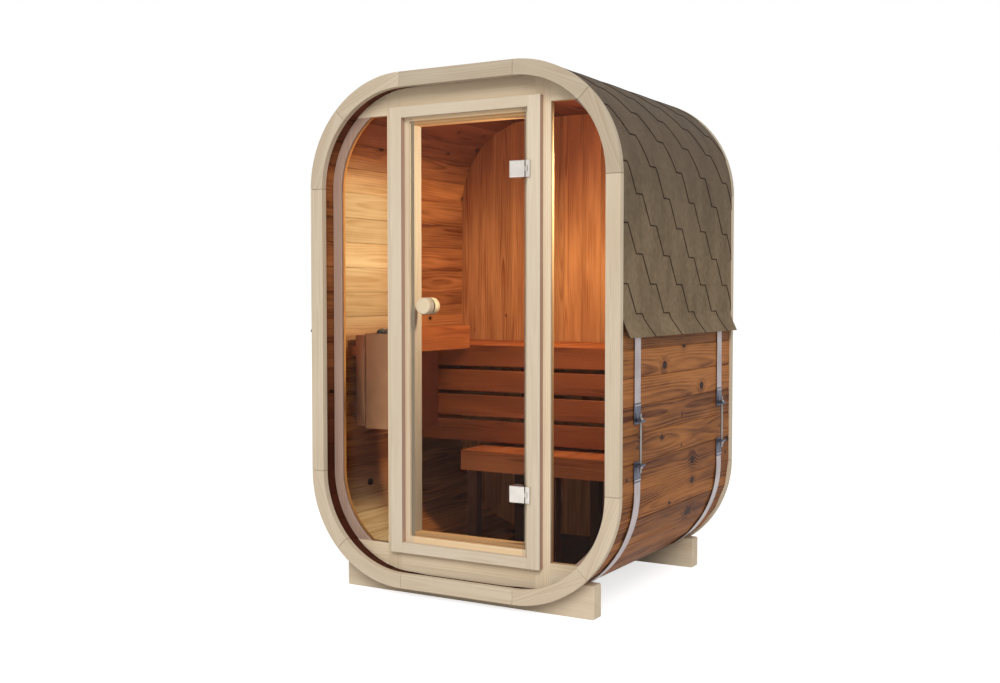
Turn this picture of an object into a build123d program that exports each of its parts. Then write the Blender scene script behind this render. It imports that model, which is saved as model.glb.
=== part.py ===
from build123d import *
import os
from math import cos, degrees, radians, sin

# Two-person barrel sauna with a rounded-square section.
# A shell of staves runs from front to back between two wooden end rings.
# X runs across the front, Y from front to back, Z up.
# The origin is on the ground, in the middle of the footprint. All sizes are in millimetres.

# Overall size, over the end rings
RING_WIDTH = 1420
RING_HEIGHT = 2080
RING_RADIUS = 450
CABIN_DEPTH = 1220
GROUND_CLEARANCE = 34

# End rings, each of four straight bars and eight curved ones
RING_BAR = 60
RING_THICKNESS = 28
RING_JOINT_GAP = 1.2
ARCS_PER_CORNER = 2

# Shell of staves
SHELL_INSET = 8
STAVE_THICKNESS = 38
STAVE_WIDTH = 108
CORNER_STAVES = 6
STAVE_GAP = 1
STAVE_CHAMFER = 3
V_JOINT = 4

# Foot beams, cut to cradle the shell
BEAM_LENGTH = 1150
BEAM_THICKNESS = 63
BEAM_HEIGHT = 130
BEAM_SETBACK = 71
BEAM_EDGE_CHAMFER = 4

# Front wall, with heights measured from the shell's floor and roof
WALL_SETBACK = 88
WALL_THICKNESS = 28
DOORWAY_WIDTH = 632
POST_WIDTH = 64
BASE_BOARD_HEIGHT = 107
HEADER_HEIGHT = 96
WINDOW_OVER_FLOOR = 112
WINDOW_UNDER_ROOF = 109
WINDOW_FRAME_WIDTH = 47
PANE_THICKNESS = 6
PANE_SETBACK = 8
PANE_IN_GROOVE = 8
PANE_CLEARANCE = 0.3

# Jamb in the doorway, with a rebate for the door
JAMB_THICKNESS = 45
JAMB_DEPTH = 68
REBATE_DEPTH = 16
STOP_WIDTH = 15

# Door casing, proud of the wall, which leaves a strip of the jamb in view
CASING_WIDTH = 56
CASING_THICKNESS = 28
CASING_HEAD_HEIGHT = 44
CASING_SILL_HEIGHT = 43
SIDE_REVEAL = 21
HEAD_REVEAL = 14
SILL_REVEAL = 24

# Door, a frameless pane of glass
DOOR_GLASS = 8
DOOR_GAP = 6
DOOR_TO_STOP = 5
HINGE_FROM_END = 215
HINGE_HEIGHT = 64
HINGE_ON_GLASS = 45
HINGE_PLATE_THICKNESS = 8
HINGE_SPACER_TO_EDGE = 4
HINGE_BACK_PLATE_THICKNESS = 4
HINGE_ARM_THICKNESS = 4
HINGE_TO_PIN = 6
LEAF_TO_PIN = 6.5
LEAF_WIDTH = 9.5
KNUCKLE_RADIUS = 4
KNUCKLE_CLEARANCE = 0.5
KNUCKLE_GAP = 1
PIN_RADIUS = 2
PIN_CLEARANCE = 0.05
SCREW_RADIUS = 4
SCREW_FROM_EDGE = 29.5
SCREW_SPACING = 32
SCREW_HOLE_CLEARANCE = 1

# Turned knobs, one each side of the glass
KNOB_RADIUS = 34
KNOB_LENGTH = 38
KNOB_FROM_EDGE = 80
KNOB_OVER_FLOOR = 1099
KNOB_CHAMFER = 3
KNOB_GROOVE = 2
KNOB_GROOVES_FROM_END = [8, 15]
SPINDLE_SIZE = 8
SPINDLE_HOLE_RADIUS = 7
SPINDLE_IN_KNOB = 19
SPINDLE_CLEARANCE = 0.1

# Back wall of upright boards
BACK_WALL_SETBACK = 53
BACK_WALL_THICKNESS = 42
BACK_BOARD_WIDTH = 96

# Benches, with heights over the shell's floor
SLAT_WIDTH = 93
SLAT_THICKNESS = 28
SLAT_GAP = 18
FASCIA_THICKNESS = 22
BEARER_THICKNESS = 28
BEARER_HEIGHT = 45
FIT_GAP = 1
UPPER_BENCH_HEIGHT = 922
UPPER_BENCH_FRONT = 560
SCREEN_SLATS = 4
SCREEN_BATTEN_WIDTH = 45
SCREEN_BATTEN_INSET = 90
LOWER_BENCH_HEIGHT = 480
LOWER_BENCH_FRONT = 385
LOWER_BENCH_DEPTH = 475
LOWER_BENCH_LEFT_REACH = 211
LOWER_FASCIA_HEIGHT = 86
LOWER_SLAT_WIDTH = 90
LOWER_SLAT_GAP = 5
LEG_SIZE = 45
MIDDLE_LEG_X = 195

# Heater on the left wall
HEATER_FROM_WALL = 88
HEATER_WIDTH = 246
HEATER_LENGTH = 210
HEATER_FRONT = 190
HEATER_OVER_FLOOR = 571
HEATER_HEIGHT = 407
HEATER_CORNER = 10
HEATER_CASING = 12
HEATER_BASIN_DEPTH = 240
HEATER_BACK_BOX_DEPTH = 47
HEATER_BACK_BOX_INSET = 8
HEATER_BACK_GAP = 4
HEATER_RAIL_HEIGHT = 40
HEATER_RAIL_FROM_END = 70
STONE_HEAP = 32
STONE_CLEARANCE = 1
STONE_HEAP_SLOPE = 40

# Guard rail between heater and doorway
GUARD_OVER_FLOOR = 907
GUARD_HEIGHT = 102
GUARD_THICKNESS = 28

# Roof cover of shingles, with its lowest course measured from the base of the rings
ROOF_COVER = 8
ROOF_EDGE_OVER_BASE = 1033
ROOF_EDGE_FLARE = 30
ROOF_EDGE_LENGTH = 72

# Straps round the shell
STRAP_WIDTH = 55
STRAP_THICKNESS = 1.5
STRAP_SETBACK = 168
STRAP_CHANNEL_CLEARANCE = 0.5
STRAP_UNDER_PLATE = 20

# Tension locks of the straps, on the right side
LOCK_OVER_BASE = 635
LOCK_GAP = 142
LOCK_PLATE_LENGTH = 80
LOCK_PLATE_THICKNESS = 4
LOCK_PLATE_WIDTH = 60
LOCK_LUG_REACH = 28
LOCK_LUG_THICKNESS = 8
LOCK_LUG_WIDTH = 40
LOCK_LUG_FROM_END = 8
LOCK_BOLT_RADIUS = 5
LOCK_BOLT_CLEARANCE = 0.3
LOCK_BOLT_OVERRUN = 16
LOCK_NUT_WIDTH = 17
LOCK_NUT_THICKNESS = 8

# Joined stretches run into each other, and cuts run past a surface, by this much
OVERRUN = 1

# Places of the rings and the shell
FRONT = -CABIN_DEPTH / 2
BACK = CABIN_DEPTH / 2
SHELL_FRONT = FRONT + RING_THICKNESS
SHELL_BACK = BACK - RING_THICKNESS
RING_BOTTOM = GROUND_CLEARANCE
RING_TOP = RING_BOTTOM + RING_HEIGHT
RING_MIDDLE = (RING_BOTTOM + RING_TOP) / 2
CORNER_X = RING_WIDTH / 2 - RING_RADIUS
CORNER_LOW = RING_BOTTOM + RING_RADIUS
CORNER_HIGH = RING_TOP - RING_RADIUS
SHELL_OUTER_X = RING_WIDTH / 2 - SHELL_INSET
SHELL_INNER_X = SHELL_OUTER_X - STAVE_THICKNESS
INNER_INSET = SHELL_INSET + STAVE_THICKNESS
FLOOR_TOP = RING_BOTTOM + INNER_INSET
CEILING = RING_TOP - INNER_INSET
CORNERS = {
    "upper_right": (CORNER_X, CORNER_HIGH),
    "upper_left": (-CORNER_X, CORNER_HIGH),
    "lower_left": (-CORNER_X, CORNER_LOW),
    "lower_right": (CORNER_X, CORNER_LOW),
}
STRAP_PLACES = {"front": FRONT + STRAP_SETBACK, "rear": BACK - STRAP_SETBACK}

# Places of the front wall, the jamb and the door
WALL_FRONT = FRONT + WALL_SETBACK
WALL_BACK = WALL_FRONT + WALL_THICKNESS
POST_INNER = DOORWAY_WIDTH / 2
POST_OUTER = POST_INNER + POST_WIDTH
BASE_BOARD_TOP = FLOOR_TOP + BASE_BOARD_HEIGHT
HEADER_BOTTOM = CEILING - HEADER_HEIGHT
WINDOW_BOTTOM = FLOOR_TOP + WINDOW_OVER_FLOOR
WINDOW_TOP = CEILING - WINDOW_UNDER_ROOF
JAMB_BACK = WALL_FRONT + JAMB_DEPTH
JAMB_INNER_X = POST_INNER - JAMB_THICKNESS
JAMB_INNER_TOP = HEADER_BOTTOM - JAMB_THICKNESS
JAMB_INNER_BOTTOM = BASE_BOARD_TOP + JAMB_THICKNESS
CASING_FRONT = WALL_FRONT - CASING_THICKNESS
CASING_INNER_X = JAMB_INNER_X + SIDE_REVEAL
CASING_INNER_TOP = JAMB_INNER_TOP + HEAD_REVEAL
CASING_INNER_BOTTOM = JAMB_INNER_BOTTOM - SILL_REVEAL
CASING_TOP = CASING_INNER_TOP + CASING_HEAD_HEIGHT
CASING_BOTTOM = CASING_INNER_BOTTOM - CASING_SILL_HEIGHT
STOP_FRONT = WALL_FRONT + REBATE_DEPTH
STOP_INNER_X = JAMB_INNER_X - STOP_WIDTH
DOOR_BACK = STOP_FRONT - DOOR_TO_STOP
DOOR_FRONT = DOOR_BACK - DOOR_GLASS
DOOR_HALF_WIDTH = JAMB_INNER_X - DOOR_GAP
DOOR_BOTTOM = JAMB_INNER_BOTTOM + DOOR_GAP
DOOR_TOP = JAMB_INNER_TOP - DOOR_GAP
HINGE_X = CASING_INNER_X
HINGE_Y = CASING_FRONT - KNUCKLE_RADIUS - KNUCKLE_CLEARANCE
HINGE_HEIGHTS = [DOOR_BOTTOM + HINGE_FROM_END, DOOR_TOP - HINGE_FROM_END]
KNOB_X = -DOOR_HALF_WIDTH + KNOB_FROM_EDGE
KNOB_Z = FLOOR_TOP + KNOB_OVER_FLOOR

# Places inside the cabin
BACK_WALL_BACK = BACK - BACK_WALL_SETBACK
BACK_WALL_FRONT = BACK_WALL_BACK - BACK_WALL_THICKNESS
UPPER_BENCH_TOP = FLOOR_TOP + UPPER_BENCH_HEIGHT
BENCH_FRONT = FRONT + UPPER_BENCH_FRONT
FASCIA_BACK = BENCH_FRONT + FASCIA_THICKNESS
BEARER_TOP = UPPER_BENCH_TOP - SLAT_THICKNESS
BEARER_BOTTOM = BEARER_TOP - BEARER_HEIGHT
LOWER_BENCH_TOP = FLOOR_TOP + LOWER_BENCH_HEIGHT
STEP_FRONT = FRONT + LOWER_BENCH_FRONT
STEP_BACK = STEP_FRONT + LOWER_BENCH_DEPTH
STEP_LEFT = -LOWER_BENCH_LEFT_REACH
STEP_BEARER_TOP = LOWER_BENCH_TOP - SLAT_THICKNESS
STEP_BEARER_BOTTOM = STEP_BEARER_TOP - BEARER_HEIGHT
HEATER_LEFT = -SHELL_INNER_X + HEATER_FROM_WALL
HEATER_BOTTOM = FLOOR_TOP + HEATER_OVER_FLOOR
HEATER_TOP = HEATER_BOTTOM + HEATER_HEIGHT
HEATER_X = (HEATER_LEFT, HEATER_LEFT + HEATER_WIDTH)
HEATER_Y = (FRONT + HEATER_FRONT, FRONT + HEATER_FRONT + HEATER_LENGTH)
BASIN_BOTTOM = HEATER_TOP - HEATER_BASIN_DEPTH
GUARD_RIGHT = -JAMB_INNER_X
GUARD_BOTTOM = FLOOR_TOP + GUARD_OVER_FLOOR

# Places of the roof cover's lowest course and the locks
ROOF_EDGE_BOTTOM = RING_BOTTOM + ROOF_EDGE_OVER_BASE
ROOF_EDGE_TOP = ROOF_EDGE_BOTTOM + ROOF_EDGE_LENGTH
LOCK_MIDDLE = RING_BOTTOM + LOCK_OVER_BASE
LOCK_UPPER_BOTTOM = LOCK_MIDDLE + LOCK_GAP / 2
LOCK_LOWER_TOP = LOCK_MIDDLE - LOCK_GAP / 2
LOCK_X = SHELL_OUTER_X + STRAP_THICKNESS
LUG_X = (LOCK_X + LOCK_PLATE_THICKNESS - OVERRUN, LOCK_X + LOCK_LUG_REACH)
BOLT_X = (LOCK_X + LOCK_PLATE_THICKNESS + LUG_X[1]) / 2
UPPER_LUG_BOTTOM = LOCK_UPPER_BOTTOM + LOCK_LUG_FROM_END
LOWER_LUG_TOP = LOCK_LOWER_TOP - LOCK_LUG_FROM_END


# Helpers for blocks, drawings of the front view, and outlines

def block(x, y, z):
    """A box from three (low, high) pairs."""
    size = Box(x[1] - x[0], y[1] - y[0], z[1] - z[0], align=(Align.MIN, Align.MIN, Align.MIN))
    return Pos(x[0], y[0], z[0]) * size


def run_back(drawing, y_from, y_to):
    """Stand a drawing of the front view up and run it from y_from to y_to."""
    plane = Plane((0, y_from, 0), x_dir=(1, 0, 0), z_dir=(0, -1, 0))
    return extrude(plane * drawing, amount=y_to - y_from, dir=(0, 1, 0))


def rectangle(x, z):
    """A rectangle in the front view from two (low, high) pairs."""
    centre = Pos((x[0] + x[1]) / 2, (z[0] + z[1]) / 2)
    return centre * Rectangle(x[1] - x[0], z[1] - z[0])


def spot(centre, radius, angle):
    """A point in the front view, at an angle in degrees from +X."""
    return (centre[0] + radius * cos(radians(angle)), centre[1] + radius * sin(radians(angle)))


def rod_back(x, z, radius, y_from, y_to):
    """A round rod that runs from front to back."""
    return run_back(Pos(x, z) * Circle(radius), y_from, y_to)


def rod_up(x, y, radius, z_from, z_to):
    """A round rod that stands upright."""
    return Pos(x, y, z_from) * Cylinder(radius, z_to - z_from, align=(Align.CENTER, Align.CENTER, Align.MIN))


def smooth_outline(inset):
    """The ring's rounded outline, moved in by inset."""
    width = RING_WIDTH - 2 * inset
    height = RING_HEIGHT - 2 * inset
    return Pos(0, RING_MIDDLE) * RectangleRounded(width, height, RING_RADIUS - inset)


def stave_outline(inset):
    """The shell's outline with one flat facet for each corner stave, moved in by inset."""
    points = []
    for quarter, centre in enumerate(CORNERS.values()):
        for step in range(CORNER_STAVES + 1):
            angle = 90 * quarter + 90 * step / CORNER_STAVES
            points.append(spot(centre, RING_RADIUS - inset, angle))
    return make_face(Polyline(*points, close=True))


def inside_shell(drawing):
    """Trim a drawing of the front view to the inside of the shell."""
    return drawing & stave_outline(INNER_INSET)


def fit_in_shell(piece, y):
    """Trim a piece that lies between two places in Y to the inside of the shell."""
    return piece & run_back(stave_outline(INNER_INSET), *y)


def both_sides(shape):
    """A shape of the right side and its mirror image."""
    return [shape, mirror(shape, about=Plane.YZ)]


# End rings

def curved_bar(centre, start, end):
    """The drawing of one curved bar of a ring, between two angles."""
    inner = RING_RADIUS - RING_BAR
    trim = degrees(RING_JOINT_GAP / 2 / RING_RADIUS)
    first = start + trim
    last = end - trim
    middle = (first + last) / 2
    outer_arc = ThreePointArc(*[spot(centre, RING_RADIUS, angle) for angle in (first, middle, last)])
    inner_arc = ThreePointArc(*[spot(centre, inner, angle) for angle in (last, middle, first)])
    first_end = Line(inner_arc @ 1, outer_arc @ 0)
    last_end = Line(outer_arc @ 1, inner_arc @ 0)
    return make_face([first_end, outer_arc, last_end, inner_arc])


def ring_arcs(y_from):
    """The eight curved bars of one ring."""
    step = 90 / ARCS_PER_CORNER
    bars = []
    for quarter, centre in enumerate(CORNERS.values()):
        for part in range(ARCS_PER_CORNER):
            start = 90 * quarter + step * part
            drawing = curved_bar(centre, start, start + step)
            bars.append(run_back(drawing, y_from, y_from + RING_THICKNESS))
    return bars


def ring_straights(y_from):
    """The four straight bars of one ring: top, base and the two sides."""
    half_gap = RING_JOINT_GAP / 2
    across = (-CORNER_X + half_gap, CORNER_X - half_gap)
    upright = (CORNER_LOW + half_gap, CORNER_HIGH - half_gap)
    side = rectangle((RING_WIDTH / 2 - RING_BAR, RING_WIDTH / 2), upright)
    drawings = [
        rectangle(across, (RING_TOP - RING_BAR, RING_TOP)),
        rectangle(across, (RING_BOTTOM, RING_BOTTOM + RING_BAR)),
        side,
        mirror(side, about=Plane.YZ),
    ]
    return [run_back(drawing, y_from, y_from + RING_THICKNESS) for drawing in drawings]


# Shell of staves

def joints_between(low, high, wanted):
    """Places of the joints that split a stretch into equal boards of about the wanted width."""
    count = max(1, round((high - low) / wanted))
    return [low + (high - low) * i / count for i in range(1, count)]


def v_notch(x, z):
    """The drawing of a V joint, centred on the face it is cut into."""
    return Pos(x, z) * Rot(0, 0, 45) * Rectangle(V_JOINT, V_JOINT)


def shell_side():
    """The flat right side of the shell, with a V joint at each edge between staves."""
    drawing = rectangle((SHELL_INNER_X, SHELL_OUTER_X), (CORNER_LOW, CORNER_HIGH))
    for z in joints_between(CORNER_LOW, CORNER_HIGH, STAVE_WIDTH):
        drawing -= v_notch(SHELL_INNER_X, z)
        drawing -= v_notch(SHELL_OUTER_X, z)
    return run_back(drawing, SHELL_FRONT, SHELL_BACK)


def shell_flat(z_low, z_high):
    """The flat floor or roof deck of the shell, with V joints."""
    drawing = rectangle((-CORNER_X, CORNER_X), (z_low, z_high))
    for x in joints_between(-CORNER_X, CORNER_X, STAVE_WIDTH):
        drawing -= v_notch(x, z_low)
        drawing -= v_notch(x, z_high)
    return run_back(drawing, SHELL_FRONT, SHELL_BACK)


def corner_staves(quarter, centre):
    """The bevelled staves of one rounded corner, each a separate board."""
    outer = RING_RADIUS - SHELL_INSET
    inner = outer - STAVE_THICKNESS
    step = 90 / CORNER_STAVES
    staves = []
    for i in range(CORNER_STAVES):
        start = 90 * quarter + step * i
        end = start + step
        corners = [spot(centre, inner, start), spot(centre, outer, start)]
        corners += [spot(centre, outer, end), spot(centre, inner, end)]
        profile = make_face(Polyline(*corners, close=True))
        for angle in (start, end):
            joint = Rectangle(RING_RADIUS, STAVE_GAP, align=(Align.MIN, Align.CENTER))
            profile -= Pos(*centre) * Rot(0, 0, angle) * joint
        profile = chamfer(profile.vertices(), STAVE_CHAMFER)
        staves.append(run_back(profile, SHELL_FRONT, SHELL_BACK))
    return staves


# Foot beams

def foot_beam(y_from):
    """A beam whose top is cut to the underside of the shell."""
    half = BEAM_LENGTH / 2
    drawing = rectangle((-half, half), (0, BEAM_HEIGHT))
    drawing = chamfer(drawing.vertices(), BEAM_EDGE_CHAMFER)
    drawing -= stave_outline(SHELL_INSET)
    return run_back(drawing, y_from, y_from + BEAM_THICKNESS)


# Front wall

def pane_drawing(extra):
    """The right window pane's outline: the opening and what reaches into the grooves."""
    reach = PANE_IN_GROOVE + extra
    zone = rectangle((POST_OUTER - reach, RING_WIDTH / 2), (WINDOW_BOTTOM - reach, WINDOW_TOP + reach))
    return zone & smooth_outline(INNER_INSET + WINDOW_FRAME_WIDTH - reach)


def window_pane():
    """The right window pane."""
    front = WALL_FRONT + PANE_SETBACK
    return run_back(pane_drawing(0), front, front + PANE_THICKNESS)


def pane_groove():
    """The groove for the right window pane, with its clearance."""
    front = WALL_FRONT + PANE_SETBACK - PANE_CLEARANCE
    return run_back(pane_drawing(PANE_CLEARANCE), front, front + PANE_THICKNESS + 2 * PANE_CLEARANCE)


def window_frame():
    """The right window's curved frame, in three lengths that follow the shell."""
    band = inside_shell(rectangle((POST_OUTER, RING_WIDTH / 2), (WINDOW_BOTTOM, WINDOW_TOP)))
    band -= smooth_outline(INNER_INSET + WINDOW_FRAME_WIDTH)
    half_gap = FIT_GAP / 2
    stretches = [
        (WINDOW_BOTTOM, CORNER_LOW - half_gap),
        (CORNER_LOW + half_gap, CORNER_HIGH - half_gap),
        (CORNER_HIGH + half_gap, WINDOW_TOP),
    ]
    lengths = []
    for stretch in stretches:
        drawing = band & rectangle((POST_OUTER, RING_WIDTH / 2), stretch)
        lengths.append(run_back(drawing, WALL_FRONT, WALL_BACK) - pane_groove())
    return lengths


def front_post():
    """The right post between doorway and window, from the shell's floor to its roof."""
    drawing = inside_shell(rectangle((POST_INNER, POST_OUTER), (RING_BOTTOM, RING_TOP)))
    return run_back(drawing, WALL_FRONT, WALL_BACK) - pane_groove()


def front_header():
    """The header over the doorway, between the posts and under the shell's roof."""
    drawing = inside_shell(rectangle((-POST_INNER, POST_INNER), (HEADER_BOTTOM, RING_TOP)))
    return run_back(drawing, WALL_FRONT, WALL_BACK)


def front_base():
    """The base board under the doorway, between the posts and on the shell's floor."""
    drawing = inside_shell(rectangle((-POST_INNER, POST_INNER), (RING_BOTTOM, BASE_BOARD_TOP)))
    return run_back(drawing, WALL_FRONT, WALL_BACK)


def corner_boards():
    """The boards that close the wall over and under the right window."""
    boards = []
    for stretch in ((WINDOW_TOP, RING_TOP), (RING_BOTTOM, WINDOW_BOTTOM)):
        drawing = inside_shell(rectangle((POST_OUTER, RING_WIDTH / 2), stretch))
        boards.append(run_back(drawing, WALL_FRONT, WALL_BACK) - pane_groove())
    return boards


# Door casing and jamb

def casing_side():
    """The right side of the casing, which covers the joint of jamb and post."""
    x = (CASING_INNER_X, CASING_INNER_X + CASING_WIDTH)
    return block(x, (CASING_FRONT, WALL_FRONT), (CASING_BOTTOM, CASING_TOP))


def casing_rails():
    """The casing's head and sill, between its sides."""
    x = (-CASING_INNER_X, CASING_INNER_X)
    y = (CASING_FRONT, WALL_FRONT)
    return [block(x, y, (CASING_INNER_TOP, CASING_TOP)), block(x, y, (CASING_BOTTOM, CASING_INNER_BOTTOM))]


def jamb_frame():
    """The whole jamb: a lining flush with the wall, and a stop behind the glass."""
    lining = rectangle((-POST_INNER, POST_INNER), (BASE_BOARD_TOP, HEADER_BOTTOM))
    door_hole = rectangle((-JAMB_INNER_X, JAMB_INNER_X), (JAMB_INNER_BOTTOM, JAMB_INNER_TOP))
    stop_z = (JAMB_INNER_BOTTOM + STOP_WIDTH, JAMB_INNER_TOP - STOP_WIDTH)
    stop_hole = rectangle((-STOP_INNER_X, STOP_INNER_X), stop_z)
    frame = run_back(lining - door_hole, WALL_FRONT, STOP_FRONT)
    return frame + run_back(lining - stop_hole, STOP_FRONT, JAMB_BACK)


def jamb_sides():
    """The two upright lengths of the jamb, which run past its head and sill."""
    y = (WALL_FRONT, JAMB_BACK)
    right = block((STOP_INNER_X, POST_INNER), y, (BASE_BOARD_TOP, HEADER_BOTTOM))
    return both_sides(jamb_frame() & right)


def jamb_rails():
    """The jamb's head and sill, between its sides."""
    x = (-STOP_INNER_X, STOP_INNER_X)
    y = (WALL_FRONT, JAMB_BACK)
    middle = (JAMB_INNER_BOTTOM + JAMB_INNER_TOP) / 2
    frame = jamb_frame()
    return [frame & block(x, y, (middle, HEADER_BOTTOM)), frame & block(x, y, (BASE_BOARD_TOP, middle))]


# Door

def screw_places(z):
    """The two screws that clamp a hinge's plates on the glass."""
    x = DOOR_HALF_WIDTH - SCREW_FROM_EDGE
    return [(x, z - SCREW_SPACING / 2), (x, z + SCREW_SPACING / 2)]


def door_glass():
    """The door's pane, with holes for the hinge screws and the knob's spindle."""
    pane = rectangle((-DOOR_HALF_WIDTH, DOOR_HALF_WIDTH), (DOOR_BOTTOM, DOOR_TOP))
    for z in HINGE_HEIGHTS:
        for place in screw_places(z):
            pane -= Pos(*place) * Circle(SCREW_RADIUS + SCREW_HOLE_CLEARANCE)
    pane -= Pos(KNOB_X, KNOB_Z) * Circle(SPINDLE_HOLE_RADIUS)
    return run_back(pane, DOOR_FRONT, DOOR_BACK)


def hinge_clamp(z):
    """The moving half of a hinge: a front plate and its arm, a spacer, and a plate behind the glass."""
    whole = (z - HINGE_HEIGHT / 2, z + HINGE_HEIGHT / 2)
    third = HINGE_HEIGHT / 6 - KNUCKLE_GAP
    middle = (z - third, z + third)
    left = DOOR_HALF_WIDTH - HINGE_ON_GLASS
    right = HINGE_X - HINGE_TO_PIN
    front = HINGE_Y - HINGE_PLATE_THICKNESS / 2
    arm_y = (HINGE_Y - HINGE_ARM_THICKNESS / 2, HINGE_Y + HINGE_ARM_THICKNESS / 2)
    clamp = block((left, right), (front, front + HINGE_PLATE_THICKNESS), whole)
    clamp += block((right - OVERRUN, HINGE_X), arm_y, middle)
    spacer_y = (front + HINGE_PLATE_THICKNESS - OVERRUN, DOOR_FRONT)
    clamp += block((left, DOOR_HALF_WIDTH - HINGE_SPACER_TO_EDGE), spacer_y, whole)
    back_x = (left, STOP_INNER_X - DOOR_TO_STOP)
    clamp += block(back_x, (DOOR_BACK, DOOR_BACK + HINGE_BACK_PLATE_THICKNESS), whole)
    for x, height in screw_places(z):
        clamp += rod_back(x, height, SCREW_RADIUS, DOOR_FRONT - OVERRUN, DOOR_BACK + OVERRUN)
    clamp += rod_up(HINGE_X, HINGE_Y, KNUCKLE_RADIUS, *middle)
    bore = rod_up(HINGE_X, HINGE_Y, PIN_RADIUS + PIN_CLEARANCE, middle[0] - OVERRUN, middle[1] + OVERRUN)
    return clamp - bore


def hinge_leaf(z):
    """The fixed half of a hinge: a leaf on the casing's front, two knuckles and the pin."""
    low = z - HINGE_HEIGHT / 2
    high = z + HINGE_HEIGHT / 2
    third = HINGE_HEIGHT / 6
    leaf_left = HINGE_X + LEAF_TO_PIN
    leaf_y = (HINGE_Y - HINGE_PLATE_THICKNESS / 2, CASING_FRONT)
    arm_y = (HINGE_Y - HINGE_ARM_THICKNESS / 2, HINGE_Y + HINGE_ARM_THICKNESS / 2)
    leaf = block((leaf_left, leaf_left + LEAF_WIDTH), leaf_y, (low, high))
    for ends in ((low, z - third), (z + third, high)):
        leaf += block((HINGE_X, leaf_left + OVERRUN), arm_y, ends)
        leaf += rod_up(HINGE_X, HINGE_Y, KNUCKLE_RADIUS, *ends)
    return leaf + rod_up(HINGE_X, HINGE_Y, PIN_RADIUS, low, high)


def turned_knob(y_from, way, grooves):
    """A turned knob from y_from on, towards the front (way -1) or the back (way 1), with ring grooves."""
    points = [(0, 0), (KNOB_RADIUS, 0)]
    for place in sorted((KNOB_LENGTH - groove for groove in grooves)):
        points.append((KNOB_RADIUS, place - KNOB_GROOVE))
        points.append((KNOB_RADIUS - KNOB_GROOVE, place))
        points.append((KNOB_RADIUS, place + KNOB_GROOVE))
    points.append((KNOB_RADIUS, KNOB_LENGTH - KNOB_CHAMFER))
    points.append((KNOB_RADIUS - KNOB_CHAMFER, KNOB_LENGTH))
    points.append((0, KNOB_LENGTH))
    profile = make_face(Polyline(*[(radius, way * along) for radius, along in points], close=True))
    flat = Plane((KNOB_X, y_from, KNOB_Z), x_dir=(1, 0, 0), z_dir=(0, 0, 1))
    return revolve(flat * profile, axis=Axis((KNOB_X, y_from, KNOB_Z), (0, 1, 0)))


def spindle(clearance, y_from, y_to):
    """The square spindle that holds both knobs, or the room for it."""
    half = SPINDLE_SIZE / 2 + clearance
    return block((KNOB_X - half, KNOB_X + half), (y_from, y_to), (KNOB_Z - half, KNOB_Z + half))


def knob_outer():
    """The plain knob outside, with its spindle."""
    return turned_knob(DOOR_FRONT, -1, []) + spindle(0, DOOR_FRONT - OVERRUN, DOOR_BACK + SPINDLE_IN_KNOB)


def knob_inner():
    """The grooved knob inside, with a square socket for the spindle."""
    socket_end = DOOR_BACK + SPINDLE_IN_KNOB + SPINDLE_CLEARANCE
    socket = spindle(SPINDLE_CLEARANCE, DOOR_BACK - OVERRUN, socket_end)
    return turned_knob(DOOR_BACK, 1, KNOB_GROOVES_FROM_END) - socket


# Back wall

def back_wall():
    """The back wall of upright boards, fitted inside the shell."""
    wall = run_back(stave_outline(INNER_INSET), BACK_WALL_FRONT, BACK_WALL_BACK)
    for x in joints_between(-SHELL_INNER_X, SHELL_INNER_X, BACK_BOARD_WIDTH):
        for y in (BACK_WALL_FRONT, BACK_WALL_BACK):
            wall -= Pos(x, y, RING_MIDDLE) * Rot(0, 0, 45) * Box(V_JOINT, V_JOINT, RING_HEIGHT)
    return wall


# Benches

def slat_row(low, high, width, gap):
    """The (low, high) pairs of equal slats that fill a stretch, near the wanted width and gap."""
    count = max(1, round((high - low + gap) / (width + gap)))
    real_width = (high - low + gap) / count - gap
    return [(low + i * (real_width + gap), low + i * (real_width + gap) + real_width) for i in range(count)]


def upper_bench_slats():
    """The seat's slats, which run from front to back."""
    reach = SHELL_INNER_X - FIT_GAP
    y = (FASCIA_BACK, BACK_WALL_FRONT)
    z = (BEARER_TOP, UPPER_BENCH_TOP)
    places = slat_row(-reach, reach, SLAT_WIDTH, SLAT_GAP)
    return [fit_in_shell(block(x, y, z), y) for x in places]


def upper_bench_bearers():
    """Front bearer, ledger on the back wall, cleats on the side walls and a middle joist."""
    z = (BEARER_BOTTOM, BEARER_TOP)
    wide = (-SHELL_INNER_X, SHELL_INNER_X)
    front_y = (FASCIA_BACK, FASCIA_BACK + BEARER_THICKNESS)
    back_y = (BACK_WALL_FRONT - BEARER_THICKNESS, BACK_WALL_FRONT)
    between = (front_y[1] + FIT_GAP, back_y[0] - FIT_GAP)
    pieces = [
        (wide, front_y),
        (wide, back_y),
        ((-BEARER_THICKNESS / 2, BEARER_THICKNESS / 2), between),
        ((SHELL_INNER_X - BEARER_THICKNESS, SHELL_INNER_X), between),
        ((-SHELL_INNER_X, -SHELL_INNER_X + BEARER_THICKNESS), between),
    ]
    return [fit_in_shell(block(x, y, z), y) for x, y in pieces]


def screen_tops():
    """The heights of the tops of the slats in front of the bench."""
    return [UPPER_BENCH_TOP - i * (SLAT_WIDTH + SLAT_GAP) for i in range(SCREEN_SLATS)]


def bench_screen_slats():
    """The long slats in front of the bench, the first of them its fascia."""
    reach = SHELL_INNER_X - FIT_GAP
    y = (BENCH_FRONT, FASCIA_BACK)
    return [fit_in_shell(block((-reach, reach), y, (top - SLAT_WIDTH, top)), y) for top in screen_tops()]


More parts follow.
